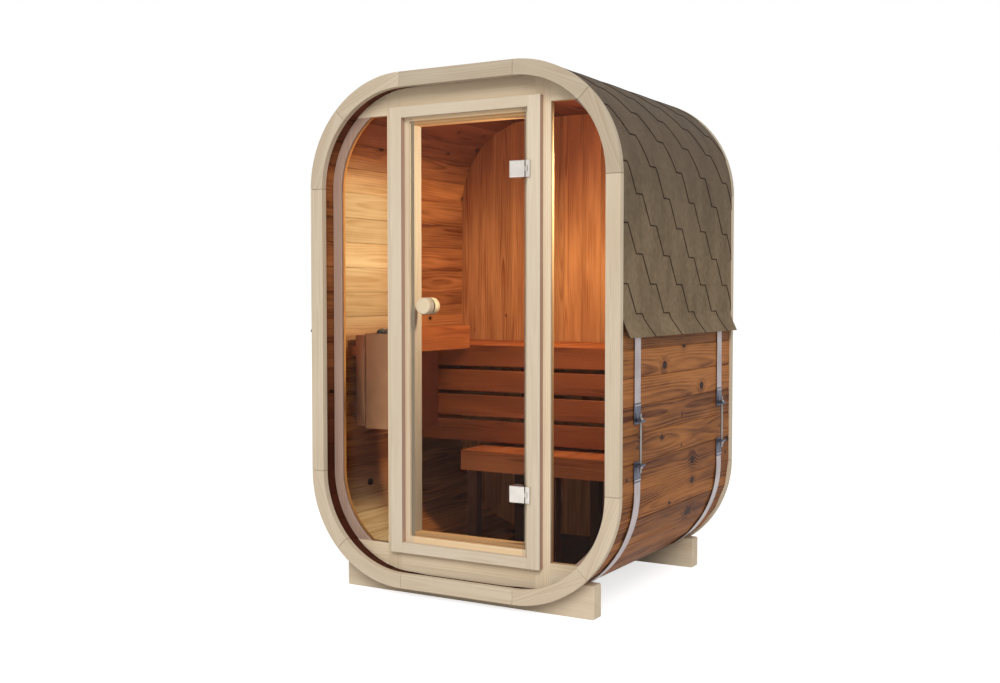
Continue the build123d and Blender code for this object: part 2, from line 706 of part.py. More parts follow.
def bench_screen_battens():
    """The upright battens that hold the screen's slats under the bearer."""
    z = (screen_tops()[-1] - SLAT_WIDTH, BEARER_BOTTOM)
    y = (FASCIA_BACK, FASCIA_BACK + FASCIA_THICKNESS)
    half = SCREEN_BATTEN_WIDTH / 2
    side = SHELL_INNER_X - SCREEN_BATTEN_INSET
    return [block((x - half, x + half), y, z) for x in (-side, 0, side)]


def lower_bench_slats():
    """The step's slats, which run from front to back."""
    low = STEP_LEFT + FASCIA_THICKNESS + FIT_GAP
    high = SHELL_INNER_X - FIT_GAP
    y = (STEP_FRONT + FASCIA_THICKNESS, STEP_BACK)
    z = (STEP_BEARER_TOP, LOWER_BENCH_TOP)
    return [fit_in_shell(block(x, y, z), y) for x in slat_row(low, high, LOWER_SLAT_WIDTH, LOWER_SLAT_GAP)]


def lower_bench_fascia():
    """The step's front board and the board at its left end."""
    z = (LOWER_BENCH_TOP - LOWER_FASCIA_HEIGHT, LOWER_BENCH_TOP)
    front_y = (STEP_FRONT, STEP_FRONT + FASCIA_THICKNESS)
    front = fit_in_shell(block((STEP_LEFT, SHELL_INNER_X), front_y, z), front_y)
    end = block((STEP_LEFT, STEP_LEFT + FASCIA_THICKNESS), (front_y[1] + FIT_GAP, STEP_BACK), z)
    return [front, end]


def step_bearer_rows():
    """The (low, high) places in Y of the step's two bearers."""
    front = STEP_FRONT + FASCIA_THICKNESS
    return [(front, front + BEARER_THICKNESS), (STEP_BACK - BEARER_THICKNESS, STEP_BACK)]


def lower_bench_bearers():
    """The step's two long bearers and the cleat on the right wall."""
    z = (STEP_BEARER_BOTTOM, STEP_BEARER_TOP)
    rows = step_bearer_rows()
    between = (rows[0][1] + FIT_GAP, rows[1][0] - FIT_GAP)
    pieces = [((STEP_LEFT + FASCIA_THICKNESS, SHELL_INNER_X), y) for y in rows]
    pieces.append(((SHELL_INNER_X - BEARER_THICKNESS, SHELL_INNER_X), between))
    return [fit_in_shell(block(x, y, z), y) for x, y in pieces]


def lower_bench_legs():
    """The legs under the bearers, down to the shell's floor."""
    rows = step_bearer_rows()
    depths = [(rows[0][0], rows[0][0] + LEG_SIZE), (rows[1][1] - LEG_SIZE, rows[1][1])]
    legs = []
    for x in (STEP_LEFT + FASCIA_THICKNESS, MIDDLE_LEG_X):
        for y in depths:
            leg = block((x, x + LEG_SIZE), y, (FLOOR_TOP, STEP_BEARER_BOTTOM))
            legs.append(fit_in_shell(leg, y))
    return legs


# Heater and its guard rail

def heater_body():
    """The heater's casing, open at the top for the stones."""
    body = block(HEATER_X, HEATER_Y, (HEATER_BOTTOM, HEATER_TOP))
    body = fillet(body.edges().filter_by(Axis.Z), HEATER_CORNER)
    basin_x = (HEATER_X[0] + HEATER_CASING, HEATER_X[1] - HEATER_CASING)
    basin_y = (HEATER_Y[0] + HEATER_CASING, HEATER_Y[1] - HEATER_CASING)
    return body - block(basin_x, basin_y, (BASIN_BOTTOM, HEATER_TOP + OVERRUN))


def heater_stones():
    """The heap of stones that fills the casing and stands a little over its rim."""
    inset = HEATER_CASING + STONE_CLEARANCE
    x = (HEATER_X[0] + inset, HEATER_X[1] - inset)
    y = (HEATER_Y[0] + inset, HEATER_Y[1] - inset)
    heap = block(x, y, (BASIN_BOTTOM, HEATER_TOP))
    base = Pos((x[0] + x[1]) / 2, (y[0] + y[1]) / 2, HEATER_TOP) * Rectangle(x[1] - x[0], y[1] - y[0])
    return heap + extrude(base, amount=STONE_HEAP, taper=STONE_HEAP_SLOPE)


def heater_bracket():
    """The heater's back box, held off the wall by two rails."""
    box_right = HEATER_LEFT - HEATER_BACK_GAP
    y = (HEATER_Y[0] + HEATER_BACK_BOX_INSET, HEATER_Y[1] - HEATER_BACK_BOX_INSET)
    z = (HEATER_BOTTOM + HEATER_BACK_BOX_INSET, HEATER_TOP - HEATER_BACK_BOX_INSET)
    bracket = block((box_right - HEATER_BACK_BOX_DEPTH, box_right), y, z)
    for middle in (z[0] + HEATER_RAIL_FROM_END, z[1] - HEATER_RAIL_FROM_END):
        rail_z = (middle - HEATER_RAIL_HEIGHT / 2, middle + HEATER_RAIL_HEIGHT / 2)
        bracket += block((-SHELL_INNER_X, HEATER_LEFT), y, rail_z)
    return bracket


def heater_guard_rail():
    """The board between heater and doorway, from the jamb to the bench."""
    x = (GUARD_RIGHT - GUARD_THICKNESS, GUARD_RIGHT)
    return block(x, (JAMB_BACK, BENCH_FRONT), (GUARD_BOTTOM, GUARD_BOTTOM + GUARD_HEIGHT))


# Straps

def strap_band(y_middle, thickness, width):
    """A closed band round the shell."""
    outer = offset(stave_outline(SHELL_INSET), amount=thickness, kind=Kind.INTERSECTION)
    ring = outer - stave_outline(SHELL_INSET)
    return run_back(ring, y_middle - width / 2, y_middle + width / 2)


def strap_channels():
    """The room that the straps need under the roof cover."""
    thickness = STRAP_THICKNESS + STRAP_CHANNEL_CLEARANCE
    width = STRAP_WIDTH + 2 * STRAP_CHANNEL_CLEARANCE
    return [strap_band(y, thickness, width) for y in STRAP_PLACES.values()]


def strap(y_middle):
    """A steel strap round the shell, open between its lock's plates."""
    band = strap_band(y_middle, STRAP_THICKNESS, STRAP_WIDTH)
    gap = (LOCK_LOWER_TOP - STRAP_UNDER_PLATE, LOCK_UPPER_BOTTOM + STRAP_UNDER_PLATE)
    return band - block((0, RING_WIDTH), (y_middle - STRAP_WIDTH, y_middle + STRAP_WIDTH), gap)


def lock_plate(y_middle, plate_bottom, lug_bottom):
    """One plate of a tension lock, with the lug that the bolt passes through."""
    half = LOCK_PLATE_WIDTH / 2
    half_lug = LOCK_LUG_WIDTH / 2
    plate_x = (LOCK_X, LOCK_X + LOCK_PLATE_THICKNESS)
    plate_z = (plate_bottom, plate_bottom + LOCK_PLATE_LENGTH)
    lug_z = (lug_bottom, lug_bottom + LOCK_LUG_THICKNESS)
    plate = block(plate_x, (y_middle - half, y_middle + half), plate_z)
    plate += block(LUG_X, (y_middle - half_lug, y_middle + half_lug), lug_z)
    hole_radius = LOCK_BOLT_RADIUS + LOCK_BOLT_CLEARANCE
    return plate - rod_up(BOLT_X, y_middle, hole_radius, lug_z[0] - OVERRUN, lug_z[1] + OVERRUN)


def lock_plates():
    """The upper and lower plates of both locks."""
    plates = []
    for y in STRAP_PLACES.values():
        plates.append(lock_plate(y, LOCK_UPPER_BOTTOM, UPPER_LUG_BOTTOM))
        plates.append(lock_plate(y, LOCK_LOWER_TOP - LOCK_PLATE_LENGTH, LOWER_LUG_TOP - LOCK_LUG_THICKNESS))
    return plates


def nut(y_middle, z_from):
    """A hexagonal nut on the lock's bolt."""
    outline = Pos(BOLT_X, y_middle, z_from) * RegularPolygon(LOCK_NUT_WIDTH / 2, 6, major_radius=False)
    return extrude(outline, amount=LOCK_NUT_THICKNESS)


def lock_bolts():
    """The threaded bolt of each lock, with its two nuts outside the lugs."""
    upper_nut = UPPER_LUG_BOTTOM + LOCK_LUG_THICKNESS
    lower_nut = LOWER_LUG_TOP - LOCK_LUG_THICKNESS - LOCK_NUT_THICKNESS
    ends = (lower_nut - LOCK_BOLT_OVERRUN, upper_nut + LOCK_NUT_THICKNESS + LOCK_BOLT_OVERRUN)
    return [rod_up(BOLT_X, y, LOCK_BOLT_RADIUS, *ends) + nut(y, upper_nut) + nut(y, lower_nut)
            for y in STRAP_PLACES.values()]


# Roof cover

def roof_cover():
    """The shingled cover over the top and both sides of the shell."""
    outer = offset(stave_outline(SHELL_INSET), amount=ROOF_COVER, kind=Kind.INTERSECTION)
    zone = rectangle((-RING_WIDTH, RING_WIDTH), (ROOF_EDGE_TOP, RING_TOP + RING_BAR))
    cover = run_back((outer - stave_outline(SHELL_INSET)) & zone, SHELL_FRONT, SHELL_BACK)
    for channel in strap_channels():
        cover -= channel
    return cover


def roof_edge():
    """The lowest course of the cover on the right side, which flares away from the shell."""
    x = SHELL_OUTER_X
    points = [
        (x, ROOF_EDGE_TOP),
        (x + ROOF_COVER, ROOF_EDGE_TOP),
        (x + ROOF_COVER + ROOF_EDGE_FLARE, ROOF_EDGE_BOTTOM),
        (x + ROOF_EDGE_FLARE, ROOF_EDGE_BOTTOM),
    ]
    edge = run_back(make_face(Polyline(*points, close=True)), SHELL_FRONT, SHELL_BACK)
    for channel in strap_channels():
        edge -= channel
    return edge


# All pieces, each node written to a file of its own

def all_nodes():
    """Every sub-part by its node's name."""
    nodes = {}
    for name, y_from in (("front", FRONT), ("rear", BACK - RING_THICKNESS)):
        nodes[name + "_ring_straights"] = ring_straights(y_from)
        nodes[name + "_ring_arcs"] = ring_arcs(y_from)
    shell_right = shell_side()
    nodes["shell_right"] = shell_right
    nodes["shell_left"] = mirror(shell_right, about=Plane.YZ)
    nodes["shell_floor"] = shell_flat(RING_BOTTOM + SHELL_INSET, FLOOR_TOP)
    nodes["shell_roof_deck"] = shell_flat(CEILING, RING_TOP - SHELL_INSET)
    for quarter, (name, centre) in enumerate(CORNERS.items()):
        nodes["shell_corner_" + name] = corner_staves(quarter, centre)
    nodes["front_beam"] = foot_beam(FRONT + BEAM_SETBACK)
    nodes["rear_beam"] = foot_beam(BACK - BEAM_SETBACK - BEAM_THICKNESS)
    nodes["front_header"] = front_header()
    nodes["front_base"] = front_base()
    nodes["front_posts"] = both_sides(front_post())
    nodes["front_corner_boards"] = [both_sides(board) for board in corner_boards()]
    nodes["window_frames"] = [both_sides(length) for length in window_frame()]
    nodes["window_panes"] = both_sides(window_pane())
    nodes["door_casing_sides"] = both_sides(casing_side())
    nodes["door_casing_rails"] = casing_rails()
    nodes["door_jamb_sides"] = jamb_sides()
    nodes["door_jamb_rails"] = jamb_rails()
    nodes["door_glass"] = door_glass()
    nodes["door_hinge_clamps"] = [hinge_clamp(z) for z in HINGE_HEIGHTS]
    nodes["door_hinge_leaves"] = [hinge_leaf(z) for z in HINGE_HEIGHTS]
    nodes["door_knob_outer"] = knob_outer()
    nodes["door_knob_inner"] = knob_inner()
    nodes["back_wall"] = back_wall()
    nodes["upper_bench_slats"] = upper_bench_slats()
    nodes["upper_bench_bearers"] = upper_bench_bearers()
    nodes["bench_screen_slats"] = bench_screen_slats()
    nodes["bench_screen_battens"] = bench_screen_battens()
    nodes["lower_bench_slats"] = lower_bench_slats()
    nodes["lower_bench_fascia"] = lower_bench_fascia()
    nodes["lower_bench_bearers"] = lower_bench_bearers()
    nodes["lower_bench_legs"] = lower_bench_legs()
    nodes["heater_body"] = heater_body()
    nodes["heater_stones"] = heater_stones()
    nodes["heater_bracket"] = heater_bracket()
    nodes["heater_guard_rail"] = heater_guard_rail()
    nodes["roof_cover"] = roof_cover()
    nodes["roof_edges"] = both_sides(roof_edge())
    for name, y in STRAP_PLACES.items():
        nodes[name + "_strap"] = strap(y)
    nodes["strap_lock_plates"] = lock_plates()
    nodes["strap_lock_bolts"] = lock_bolts()
    return nodes


def solids_of(shape):
    """A flat list of the solids in a shape or in a list of shapes."""
    if isinstance(shape, list):
        return [solid for item in shape for solid in solids_of(item)]
    return list(shape.solids())


os.makedirs("parts", exist_ok=True)
for node, shape in all_nodes().items():
    solids = solids_of(shape)
    export_step(solids[0] if len(solids) == 1 else Compound(children=solids), "parts/" + node + ".step")
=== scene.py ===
# %% [markdown]
# # A barrel sauna with a rounded-square section
# The cabin is already built to size: every board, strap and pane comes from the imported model, which is
# loaded here as a fixed frame. This lesson gives each piece its looks. It never moves a piece. Where a
# surface needs more shape than the frame has, such as rounded board edges, single shingles or loose stones,
# a new piece stands in for the old one and rides on the same body.

# %% Load the frame
from math import asin, ceil, cos, degrees, pi, radians, sin, sqrt

import bmesh
import bpy
import numpy as np
from mathutils import Matrix, Vector, noise


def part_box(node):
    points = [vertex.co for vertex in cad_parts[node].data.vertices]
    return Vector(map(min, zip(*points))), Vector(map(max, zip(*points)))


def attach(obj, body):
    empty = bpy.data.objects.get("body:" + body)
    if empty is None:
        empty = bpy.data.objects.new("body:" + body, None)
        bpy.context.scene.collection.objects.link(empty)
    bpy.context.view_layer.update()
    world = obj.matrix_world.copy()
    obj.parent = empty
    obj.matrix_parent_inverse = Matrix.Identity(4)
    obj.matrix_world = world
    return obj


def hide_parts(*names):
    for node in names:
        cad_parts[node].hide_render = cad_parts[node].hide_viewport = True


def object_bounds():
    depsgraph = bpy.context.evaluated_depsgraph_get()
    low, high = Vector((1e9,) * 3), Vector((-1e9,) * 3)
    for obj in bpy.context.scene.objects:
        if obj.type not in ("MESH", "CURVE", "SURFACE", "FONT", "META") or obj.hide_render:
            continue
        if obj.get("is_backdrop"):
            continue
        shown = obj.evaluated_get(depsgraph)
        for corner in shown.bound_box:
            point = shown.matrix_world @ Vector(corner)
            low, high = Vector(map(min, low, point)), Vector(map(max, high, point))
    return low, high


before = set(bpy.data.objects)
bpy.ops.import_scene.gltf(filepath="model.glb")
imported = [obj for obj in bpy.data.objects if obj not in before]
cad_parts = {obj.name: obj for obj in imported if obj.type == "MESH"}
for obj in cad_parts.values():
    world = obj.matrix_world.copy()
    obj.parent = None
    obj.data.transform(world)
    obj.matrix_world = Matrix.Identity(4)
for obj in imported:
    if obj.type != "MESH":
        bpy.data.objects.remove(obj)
CAD_BOX = [list(corner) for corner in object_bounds()]
CABIN = "cabin"
DOOR = "door"
print("nodes:", len(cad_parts), "box:", [[round(v, 3) for v in corner] for corner in CAD_BOX])

# %% [markdown]
# ## Camera
# A product picture like this one is taken from about chest height, a few metres away and well to the right
# of the door, so that the front and one side both show. The place was solved from the outlines of the two
# end rings. A camera is aimed by turning its own -Z axis towards the target.

# %% Camera
CAMERA_PLACE = Vector((2.527, -4.602, 1.229))
CAMERA_TARGET = Vector((0.2077, -0.610, 1.0458))
CAMERA_LENS = 43.455
SENSOR_WIDTH = 36.0

camera_data = bpy.data.cameras.new("camera")
camera_data.lens = CAMERA_LENS
camera_data.sensor_width = SENSOR_WIDTH
camera = bpy.data.objects.new("camera", camera_data)
camera.location = CAMERA_PLACE
camera.rotation_euler = (CAMERA_TARGET - CAMERA_PLACE).to_track_quat("-Z", "Y").to_euler()
bpy.context.scene.collection.objects.link(camera)
bpy.context.scene.camera = camera
print("camera looks over", round((CAMERA_TARGET - CAMERA_PLACE).length, 2), "m")

# %% [markdown]
# ## Colours and node trees
# Colours are easiest to pick as the 0 to 255 values seen on a screen, but shaders want linear light, so
# each one is converted. A material is a small graph of nodes. The Graph class below adds one node at a time
# and links whatever is passed in, which keeps each finish short enough to read.

# %% Helpers for colours and materials
def colour(red, green, blue):
    """A screen colour as the linear colour that shaders use."""
    linear = [v / 12.92 if v <= 0.04045 else ((v + 0.055) / 1.055) ** 2.4
              for v in (red / 255, green / 255, blue / 255)]
    return (*linear, 1.0)


class Graph:
    """A new material, or a new world, and its nodes."""

    def __init__(self, name, kind=bpy.data.materials):
        self.owner = kind.new(name)
        self.owner.use_nodes = True
        self.nodes = self.owner.node_tree.nodes
        self.links = self.owner.node_tree.links
        self.shader = self.nodes.get("Principled BSDF")

    def add(self, kind, **settings):
        node = self.nodes.new("ShaderNode" + kind)
        for key, value in settings.items():
            setattr(node, key, value)
        return node

    def feed(self, socket, value):
        """Put a number, a colour or another node's output into a socket."""
        if isinstance(value, bpy.types.NodeSocket):
            self.links.new(value, socket)
        else:
            socket.default_value = value

    def math(self, operation, a, b=0.0, clamp=False):
        node = self.add("Math", operation=operation, use_clamp=clamp)
        self.feed(node.inputs[0], a)
        self.feed(node.inputs[1], b)
        return node.outputs[0]

    def times(self, a, b):
        return self.math("MULTIPLY", a, b)

    def plus(self, a, b, clamp=False):
        return self.math("ADD", a, b, clamp)

    def minus(self, a, b):
        return self.math("SUBTRACT", a, b)

    def vector(self, operation, a, b):
        node = self.add("VectorMath", operation=operation)
        self.feed(node.inputs[0], a)
        self.feed(node.inputs[1], b)
        return node.outputs["Value" if operation in ("LENGTH", "DISTANCE") else "Vector"]

    def noise(self, vector, scale=1.0, detail=2.0, rough=0.5, stretch=None):
        node = self.add("TexNoise")
        self.feed(node.inputs["Vector"], self.vector("MULTIPLY", vector, stretch) if stretch else vector)
        self.feed(node.inputs["Scale"], scale)
        self.feed(node.inputs["Detail"], detail)
        self.feed(node.inputs["Roughness"], rough)
        return node.outputs["Fac"]

    def spread(self, value, low, high, to_low=0.0, to_high=1.0, smooth=True):
        """Map low..high of a value to to_low..to_high, and hold it there beyond."""
        node = self.add("MapRange", interpolation_type="SMOOTHSTEP" if smooth else "LINEAR")
        for socket, number in zip(node.inputs[:5], (value, low, high, to_low, to_high)):
            self.feed(socket, number)
        return node.outputs[0]

    def blend(self, share, a, b):
        """Mix two colours."""
        node = self.add("Mix", data_type="RGBA")
        self.feed(node.inputs[0], share)
        self.feed(node.inputs[6], a)
        self.feed(node.inputs[7], b)
        return node.outputs[2]

    def bump(self, height, depth, strength=1.0):
        node = self.add("Bump")
        node.inputs["Distance"].default_value = depth
        node.inputs["Strength"].default_value = strength
        self.feed(node.inputs["Height"], height)
        self.feed(self.shader.inputs["Normal"], node.outputs[0])

    def place(self):
        """The place on the surface in metres, in the cabin's own frame."""
        return self.add("TexCoord").outputs["Object"]

    def attribute(self, name, output="Vector"):
        return self.add("Attribute", attribute_name=name).outputs[output]

    def axis(self, vector, which):
        node = self.add("SeparateXYZ")
        self.feed(node.inputs[0], vector)
        return node.outputs[which]

    def along(self, axis, low, high, *to):
        """A share that goes from 0 at low to 1 at high along the cabin's X, Y or Z."""
        return self.spread(self.axis(self.place(), "XYZ".index(axis)), low, high, *to)

    def join(self, x, y, z):
        node = self.add("CombineXYZ")
        for socket, value in zip(node.inputs, (x, y, z)):
            self.feed(socket, value)
        return node.outputs[0]

    def seen_directly(self):
        """1 for rays that the camera meets, also by a reflection or through glass, and 0 for others."""
        path = self.add("LightPath").outputs
        direct = self.math("MAXIMUM", path["Is Camera Ray"], path["Is Glossy Ray"])
        direct = self.math("MAXIMUM", direct, path["Is Transmission Ray"])
        return self.times(direct, self.math("LESS_THAN", path["Diffuse Depth"], 0.5))

    def surface(self, sockets):
        """Feed several of the shader's own sockets."""
        for name, value in sockets.items():
            self.feed(self.shader.inputs[name], value)
        return self.owner


print("white is", colour(255, 255, 255))

# %% [markdown]
# ## Light and floor
# The cabin stands on white, so the world and the floor show white to the camera and in reflections. The
# light that reaches the surfaces is a plain sky all round, with one large soft lamp at the front right. A
# warm lamp inside the cabin, high beside the door, lights the boards that show through the glass. It
# belongs to the picture's lighting, like a studio lamp, and is hidden from the camera and from reflections.

# %% World, lamps and floor
SKY_STRENGTH = 0.56
KEY_PLACE = (4.6, -8.2, 6.2)
KEY_TARGET = (0, 0, 1)
KEY_SIZE = (5.0, 5.0)
KEY_POWER = 650.0
CABIN_LAMP_PLACE = (0.58, -0.27, 1.76)
CABIN_LAMP_TARGET = (-0.60, 0.10, 1.00)
CABIN_LAMP_SIZE = (0.16, 0.3)
CABIN_LAMP_POWER = 16.0
CABIN_LAMP_COLOUR = (1.0, 0.87, 0.64)
FLOOR_SIZE = 60.0
FLOOR_SHADE = 0.70
FLOOR_GLOW = 0.72

studio = Graph("studio", bpy.data.worlds)
sky = studio.nodes["Background"].inputs
studio.feed(sky["Color"], (1.0, 1.0, 1.0, 1.0))
studio.feed(sky["Strength"], studio.spread(studio.seen_directly(), 0.0, 1.0, SKY_STRENGTH, 1.0, smooth=False))
bpy.context.scene.world = studio.owner
bpy.context.scene.view_settings.view_transform = "Standard"


def lamp(name, place, target, size, power, tint=(1.0, 1.0, 1.0)):
    """A rectangular lamp at a place, aimed at a target."""
    data = bpy.data.lights.new(name, "AREA")
    data.shape = "RECTANGLE"
    data.size, data.size_y = size
    data.energy = power
    data.color = tint
    holder = bpy.data.objects.new(name, data)
    holder.location = place
    holder.rotation_euler = (Vector(target) - Vector(place)).to_track_quat("-Z", "Y").to_euler()
    holder.visible_camera = False
    holder.visible_glossy = False
    holder.visible_transmission = False
    bpy.context.scene.collection.objects.link(holder)


lamp("key_lamp", KEY_PLACE, KEY_TARGET, KEY_SIZE, KEY_POWER)
lamp("cabin_lamp", CABIN_LAMP_PLACE, CABIN_LAMP_TARGET, CABIN_LAMP_SIZE, CABIN_LAMP_POWER, CABIN_LAMP_COLOUR)

floor_mesh = bpy.data.meshes.new("floor")
half_floor = FLOOR_SIZE / 2
floor_mesh.from_pydata([(-half_floor, -half_floor, 0), (half_floor, -half_floor, 0),
                        (half_floor, half_floor, 0), (-half_floor, half_floor, 0)], [], [(0, 1, 2, 3)])
floor_object = bpy.data.objects.new("floor", floor_mesh)
floor_paint = Graph("floor_paint")
glow = floor_paint.times(floor_paint.seen_directly(), FLOOR_GLOW)
floor_mesh.materials.append(floor_paint.surface({
    "Base Color": (FLOOR_SHADE, FLOOR_SHADE, FLOOR_SHADE, 1), "Roughness": 1.0, "Specular IOR Level": 0.0,
    "Emission Color": (1, 1, 1, 1), "Emission Strength": glow}))
bpy.context.scene.collection.objects.link(floor_object)
floor_object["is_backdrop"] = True
print("sky", SKY_STRENGTH, "key lamp", KEY_POWER, "W")

# %% [markdown]
# ## Wood
# Every board was sawn from a trunk, so its face cuts through growth rings: close, nearly straight lines
# along the board, with fine fibres, some patches of tone and a few knots. One shader makes all of the woods
# here. It reads two values that each board carries: "grain", the place inside its own piece of trunk, with
# the first number running along the board, and "board", a number from 0 to 1 that sets its tone. So no two
# boards match, and the lines always follow the timber, also on a curved bar. Light and shade are also
# painted into the wood by place: painted shade on the boards under the roof and on the staves in front of
# the wall, a painted pool of light on those beside the window, and painted warm light and shade on what
# lies behind the glass. A third value, "inside", tells a stave's inner face from its outer one.

# %% The wood shader
BEND_STRETCH = (1.3, 5.0, 5.0)
KNOT_STRETCH = (0.75, 1.0, 1.0)
FIBRE_STRETCH = (7.0, 420.0, 420.0)
PATCH_STRETCH = (1.1, 9.0, 9.0)
FADE_STRETCH = (3.0, 30.0, 30.0)
KNOT_CELL = 0.16
HALO_REACH = 3.2
HALO_SWIRL = 0.007
HEART_OFFSET = 0.028
WOOD_RELIEF = 0.0005
WOOD_GLOSS = 0.12


def wood(name, light, dark, knot, ring_width=0.0065, ring_share=0.5, fibre_share=0.25, patch_share=0.3,
         tone_range=0.16, knots=0.3, knot_size=0.010, roughness=0.62, bend=0.05,
         inside=None, painted_shade_colours=None, painted_light_colours=None, painted_light_and_shade_behind_glass=None):
    """A sawn and planed wood, its colours as seen on a screen. The shares say how much rings, fibres and
    patches darken it. The inside pair is a stave's inner face; the other pairs paint light and shade on it."""
    g = Graph(name)
    grain = g.attribute("grain")
    board = g.attribute("board", "Fac")
    bent = g.times(g.minus(g.noise(grain, detail=1.0, stretch=BEND_STRETCH), 0.5), bend)

    cell = g.add("TexVoronoi", feature="F1", voronoi_dimensions="2D")
    cell.inputs["Scale"].default_value = 1 / KNOT_CELL
    g.feed(cell.inputs["Vector"], g.vector("MULTIPLY", grain, KNOT_STRETCH))
    away = g.plus(g.times(cell.outputs["Distance"], KNOT_CELL), g.times(bent, 0.08))
    size = g.spread(g.axis(cell.outputs["Color"], 0), 1 - knots, 1.0, -0.004, knot_size)
    knot_mask = g.spread(g.minus(size, away), -0.0015, 0.003)
    halo = g.spread(g.minus(g.times(size, HALO_REACH), away), 0.0, 0.035)

    heart = g.join(0.0, g.plus(g.axis(grain, 1), g.spread(board, 0, 1, -0.04, 0.04, smooth=False)),
                   g.plus(g.plus(g.axis(grain, 2), bent), HEART_OFFSET))
    radius = g.plus(g.vector("LENGTH", heart, (0, 0, 0)), g.times(halo, HALO_SWIRL))
    ring = g.math("FRACT", g.math("DIVIDE", radius, ring_width))
    ring = g.times(g.spread(ring, 0.15, 0.85), g.spread(ring, 0.88, 1.0, 1.0, 0.0))
    fibre = g.noise(grain, detail=3.0, rough=0.6, stretch=FIBRE_STRETCH)
    patch = g.noise(grain, detail=4.0, rough=0.6, stretch=PATCH_STRETCH)
    fade = g.spread(g.noise(grain, stretch=FADE_STRETCH), 0.3, 0.7, ring_share * 0.3, ring_share * 1.2)

    shade = g.plus(g.times(ring, fade), g.times(g.spread(fibre, 0.3, 0.75), fibre_share))
    shade = g.plus(shade, g.times(g.spread(patch, 0.34, 0.66), patch_share))
    shade = g.plus(shade, g.times(halo, 0.25), clamp=True)
    tones = [colour(*light), colour(*dark)]

    def change(share, changed):
        tones[:] = [g.blend(share, tone, colour(*new)) for tone, new in zip(tones, changed)]

    if inside:
        # the inner face; painted shade under the roof; and painted shade on the strip in front of the wall,
        # darker low down
        within = g.attribute("inside", "Fac")
        change(within, inside)
        change(g.times(g.along("Z", 1.70, 1.92), within), painted_shade_colours)
        change(g.times(g.times(g.along("Y", -0.505, -0.515), within), g.along("Z", 1.5, 0.5, 0.35, 1.0)),
               (painted_shade_colours[1], painted_shade_colours[1]))
        # a painted pool of light beside the left window, in its upper half and at its foot
        high = g.times(g.along("Y", 0.12, -0.22), g.times(g.along("Z", 0.95, 1.2), g.along("Z", 1.85, 1.6)))
        low = g.times(g.along("Z", 0.50, 0.28), g.along("Y", -0.1, -0.35))
        painted_light_patch = g.times(g.math("MAXIMUM", high, low), g.along("X", -0.25, -0.45))
        change(g.times(painted_light_patch, g.times(within, g.along("Y", -0.51, -0.49))), painted_light_colours)
    elif painted_shade_colours:
        # painted shade under the roof, on the inner face of the back wall
        change(g.times(g.along("Z", 1.35, 1.95), g.along("Y", 0.522, 0.514)), painted_shade_colours)
    if painted_light_and_shade_behind_glass:
        # painted warm light and shade on what lies behind the glass
        change(g.along("Y", -0.5105, -0.5095), painted_light_and_shade_behind_glass)
    tone = g.add("HueSaturation")
    g.feed(tone.inputs["Value"], g.spread(board, 0.0, 1.0, 1 - tone_range, 1 + tone_range, smooth=False))
    g.feed(tone.inputs["Color"], g.blend(shade, *tones))
    g.bump(g.minus(g.times(fibre, 0.7), g.times(ring, 0.5)), WOOD_RELIEF, 0.6)
    return g.surface({"Base Color": g.blend(knot_mask, tone.outputs[0], colour(*knot)),
                      "Roughness": g.spread(fibre, 0.2, 0.8, roughness - 0.06, roughness + 0.1),
                      "Specular IOR Level": WOOD_GLOSS})


PLANED = {"fibre_share": 0.18, "patch_share": 0.3, "bend": 0.03}
FINE = {"fibre_share": 0.15, "patch_share": 0.25, "bend": 0.03}
BENCH = {"ring_share": 0.45, "fibre_share": 0.25, "patch_share": 0.4}
RING_WOOD = wood("ring_wood", (219, 203, 178), (194, 172, 144), (150, 112, 78), ring_share=0.4,
                 tone_range=0.30, knots=0.06, knot_size=0.006, **PLANED)
CASING_WOOD = wood("casing_wood", (220, 205, 182), (200, 180, 152), (168, 130, 92), ring_share=0.35,
                   tone_range=0.03, knots=0.04, knot_size=0.004, **FINE)
# painted shade: a darker, mauve copy of the casing's wood for the casing's sides that face sideways
CASING_SIDE_PAINTED_SHADE = wood("casing_side_painted_shade", (186, 156, 138), (160, 130, 112), (120, 90, 70), ring_share=0.35,
                   fibre_share=0.2, patch_share=0.25, tone_range=0.03, knots=0.0, bend=0.03)
WALL_WOOD = wood("wall_wood", (236, 218, 188), (216, 190, 156), (150, 105, 68), ring_share=0.45,
                 tone_range=0.04, knots=0.06, knot_size=0.005, painted_light_and_shade_behind_glass=((222, 186, 140), (202, 158, 112)),
                 **PLANED)
# painted shade: the curved window frames get a darker, mauve copy of the wall's pale wood, for the shade of the
# ring
FRAME_PAINTED_SHADE_WOOD = wood("frame_painted_shade_wood", (188, 158, 140), (154, 124, 108), (110, 70, 48), ring_share=0.45,
                  tone_range=0.03, knots=0.0, painted_light_and_shade_behind_glass=((236, 172, 104), (208, 138, 78)), **PLANED)
JAMB_WOOD = wood("jamb_wood", (228, 208, 178), (206, 182, 148), (150, 105, 68), ring_share=0.4,
                 tone_range=0.04, knots=0.0, painted_light_and_shade_behind_glass=((200, 184, 162), (182, 164, 140)), **FINE)
SILL_WOOD = wood("sill_wood", (240, 212, 172), (224, 188, 144), (160, 110, 70), ring_share=0.4,
                 tone_range=0.04, knots=0.0, painted_light_and_shade_behind_glass=((244, 196, 140), (226, 168, 112)), **FINE)
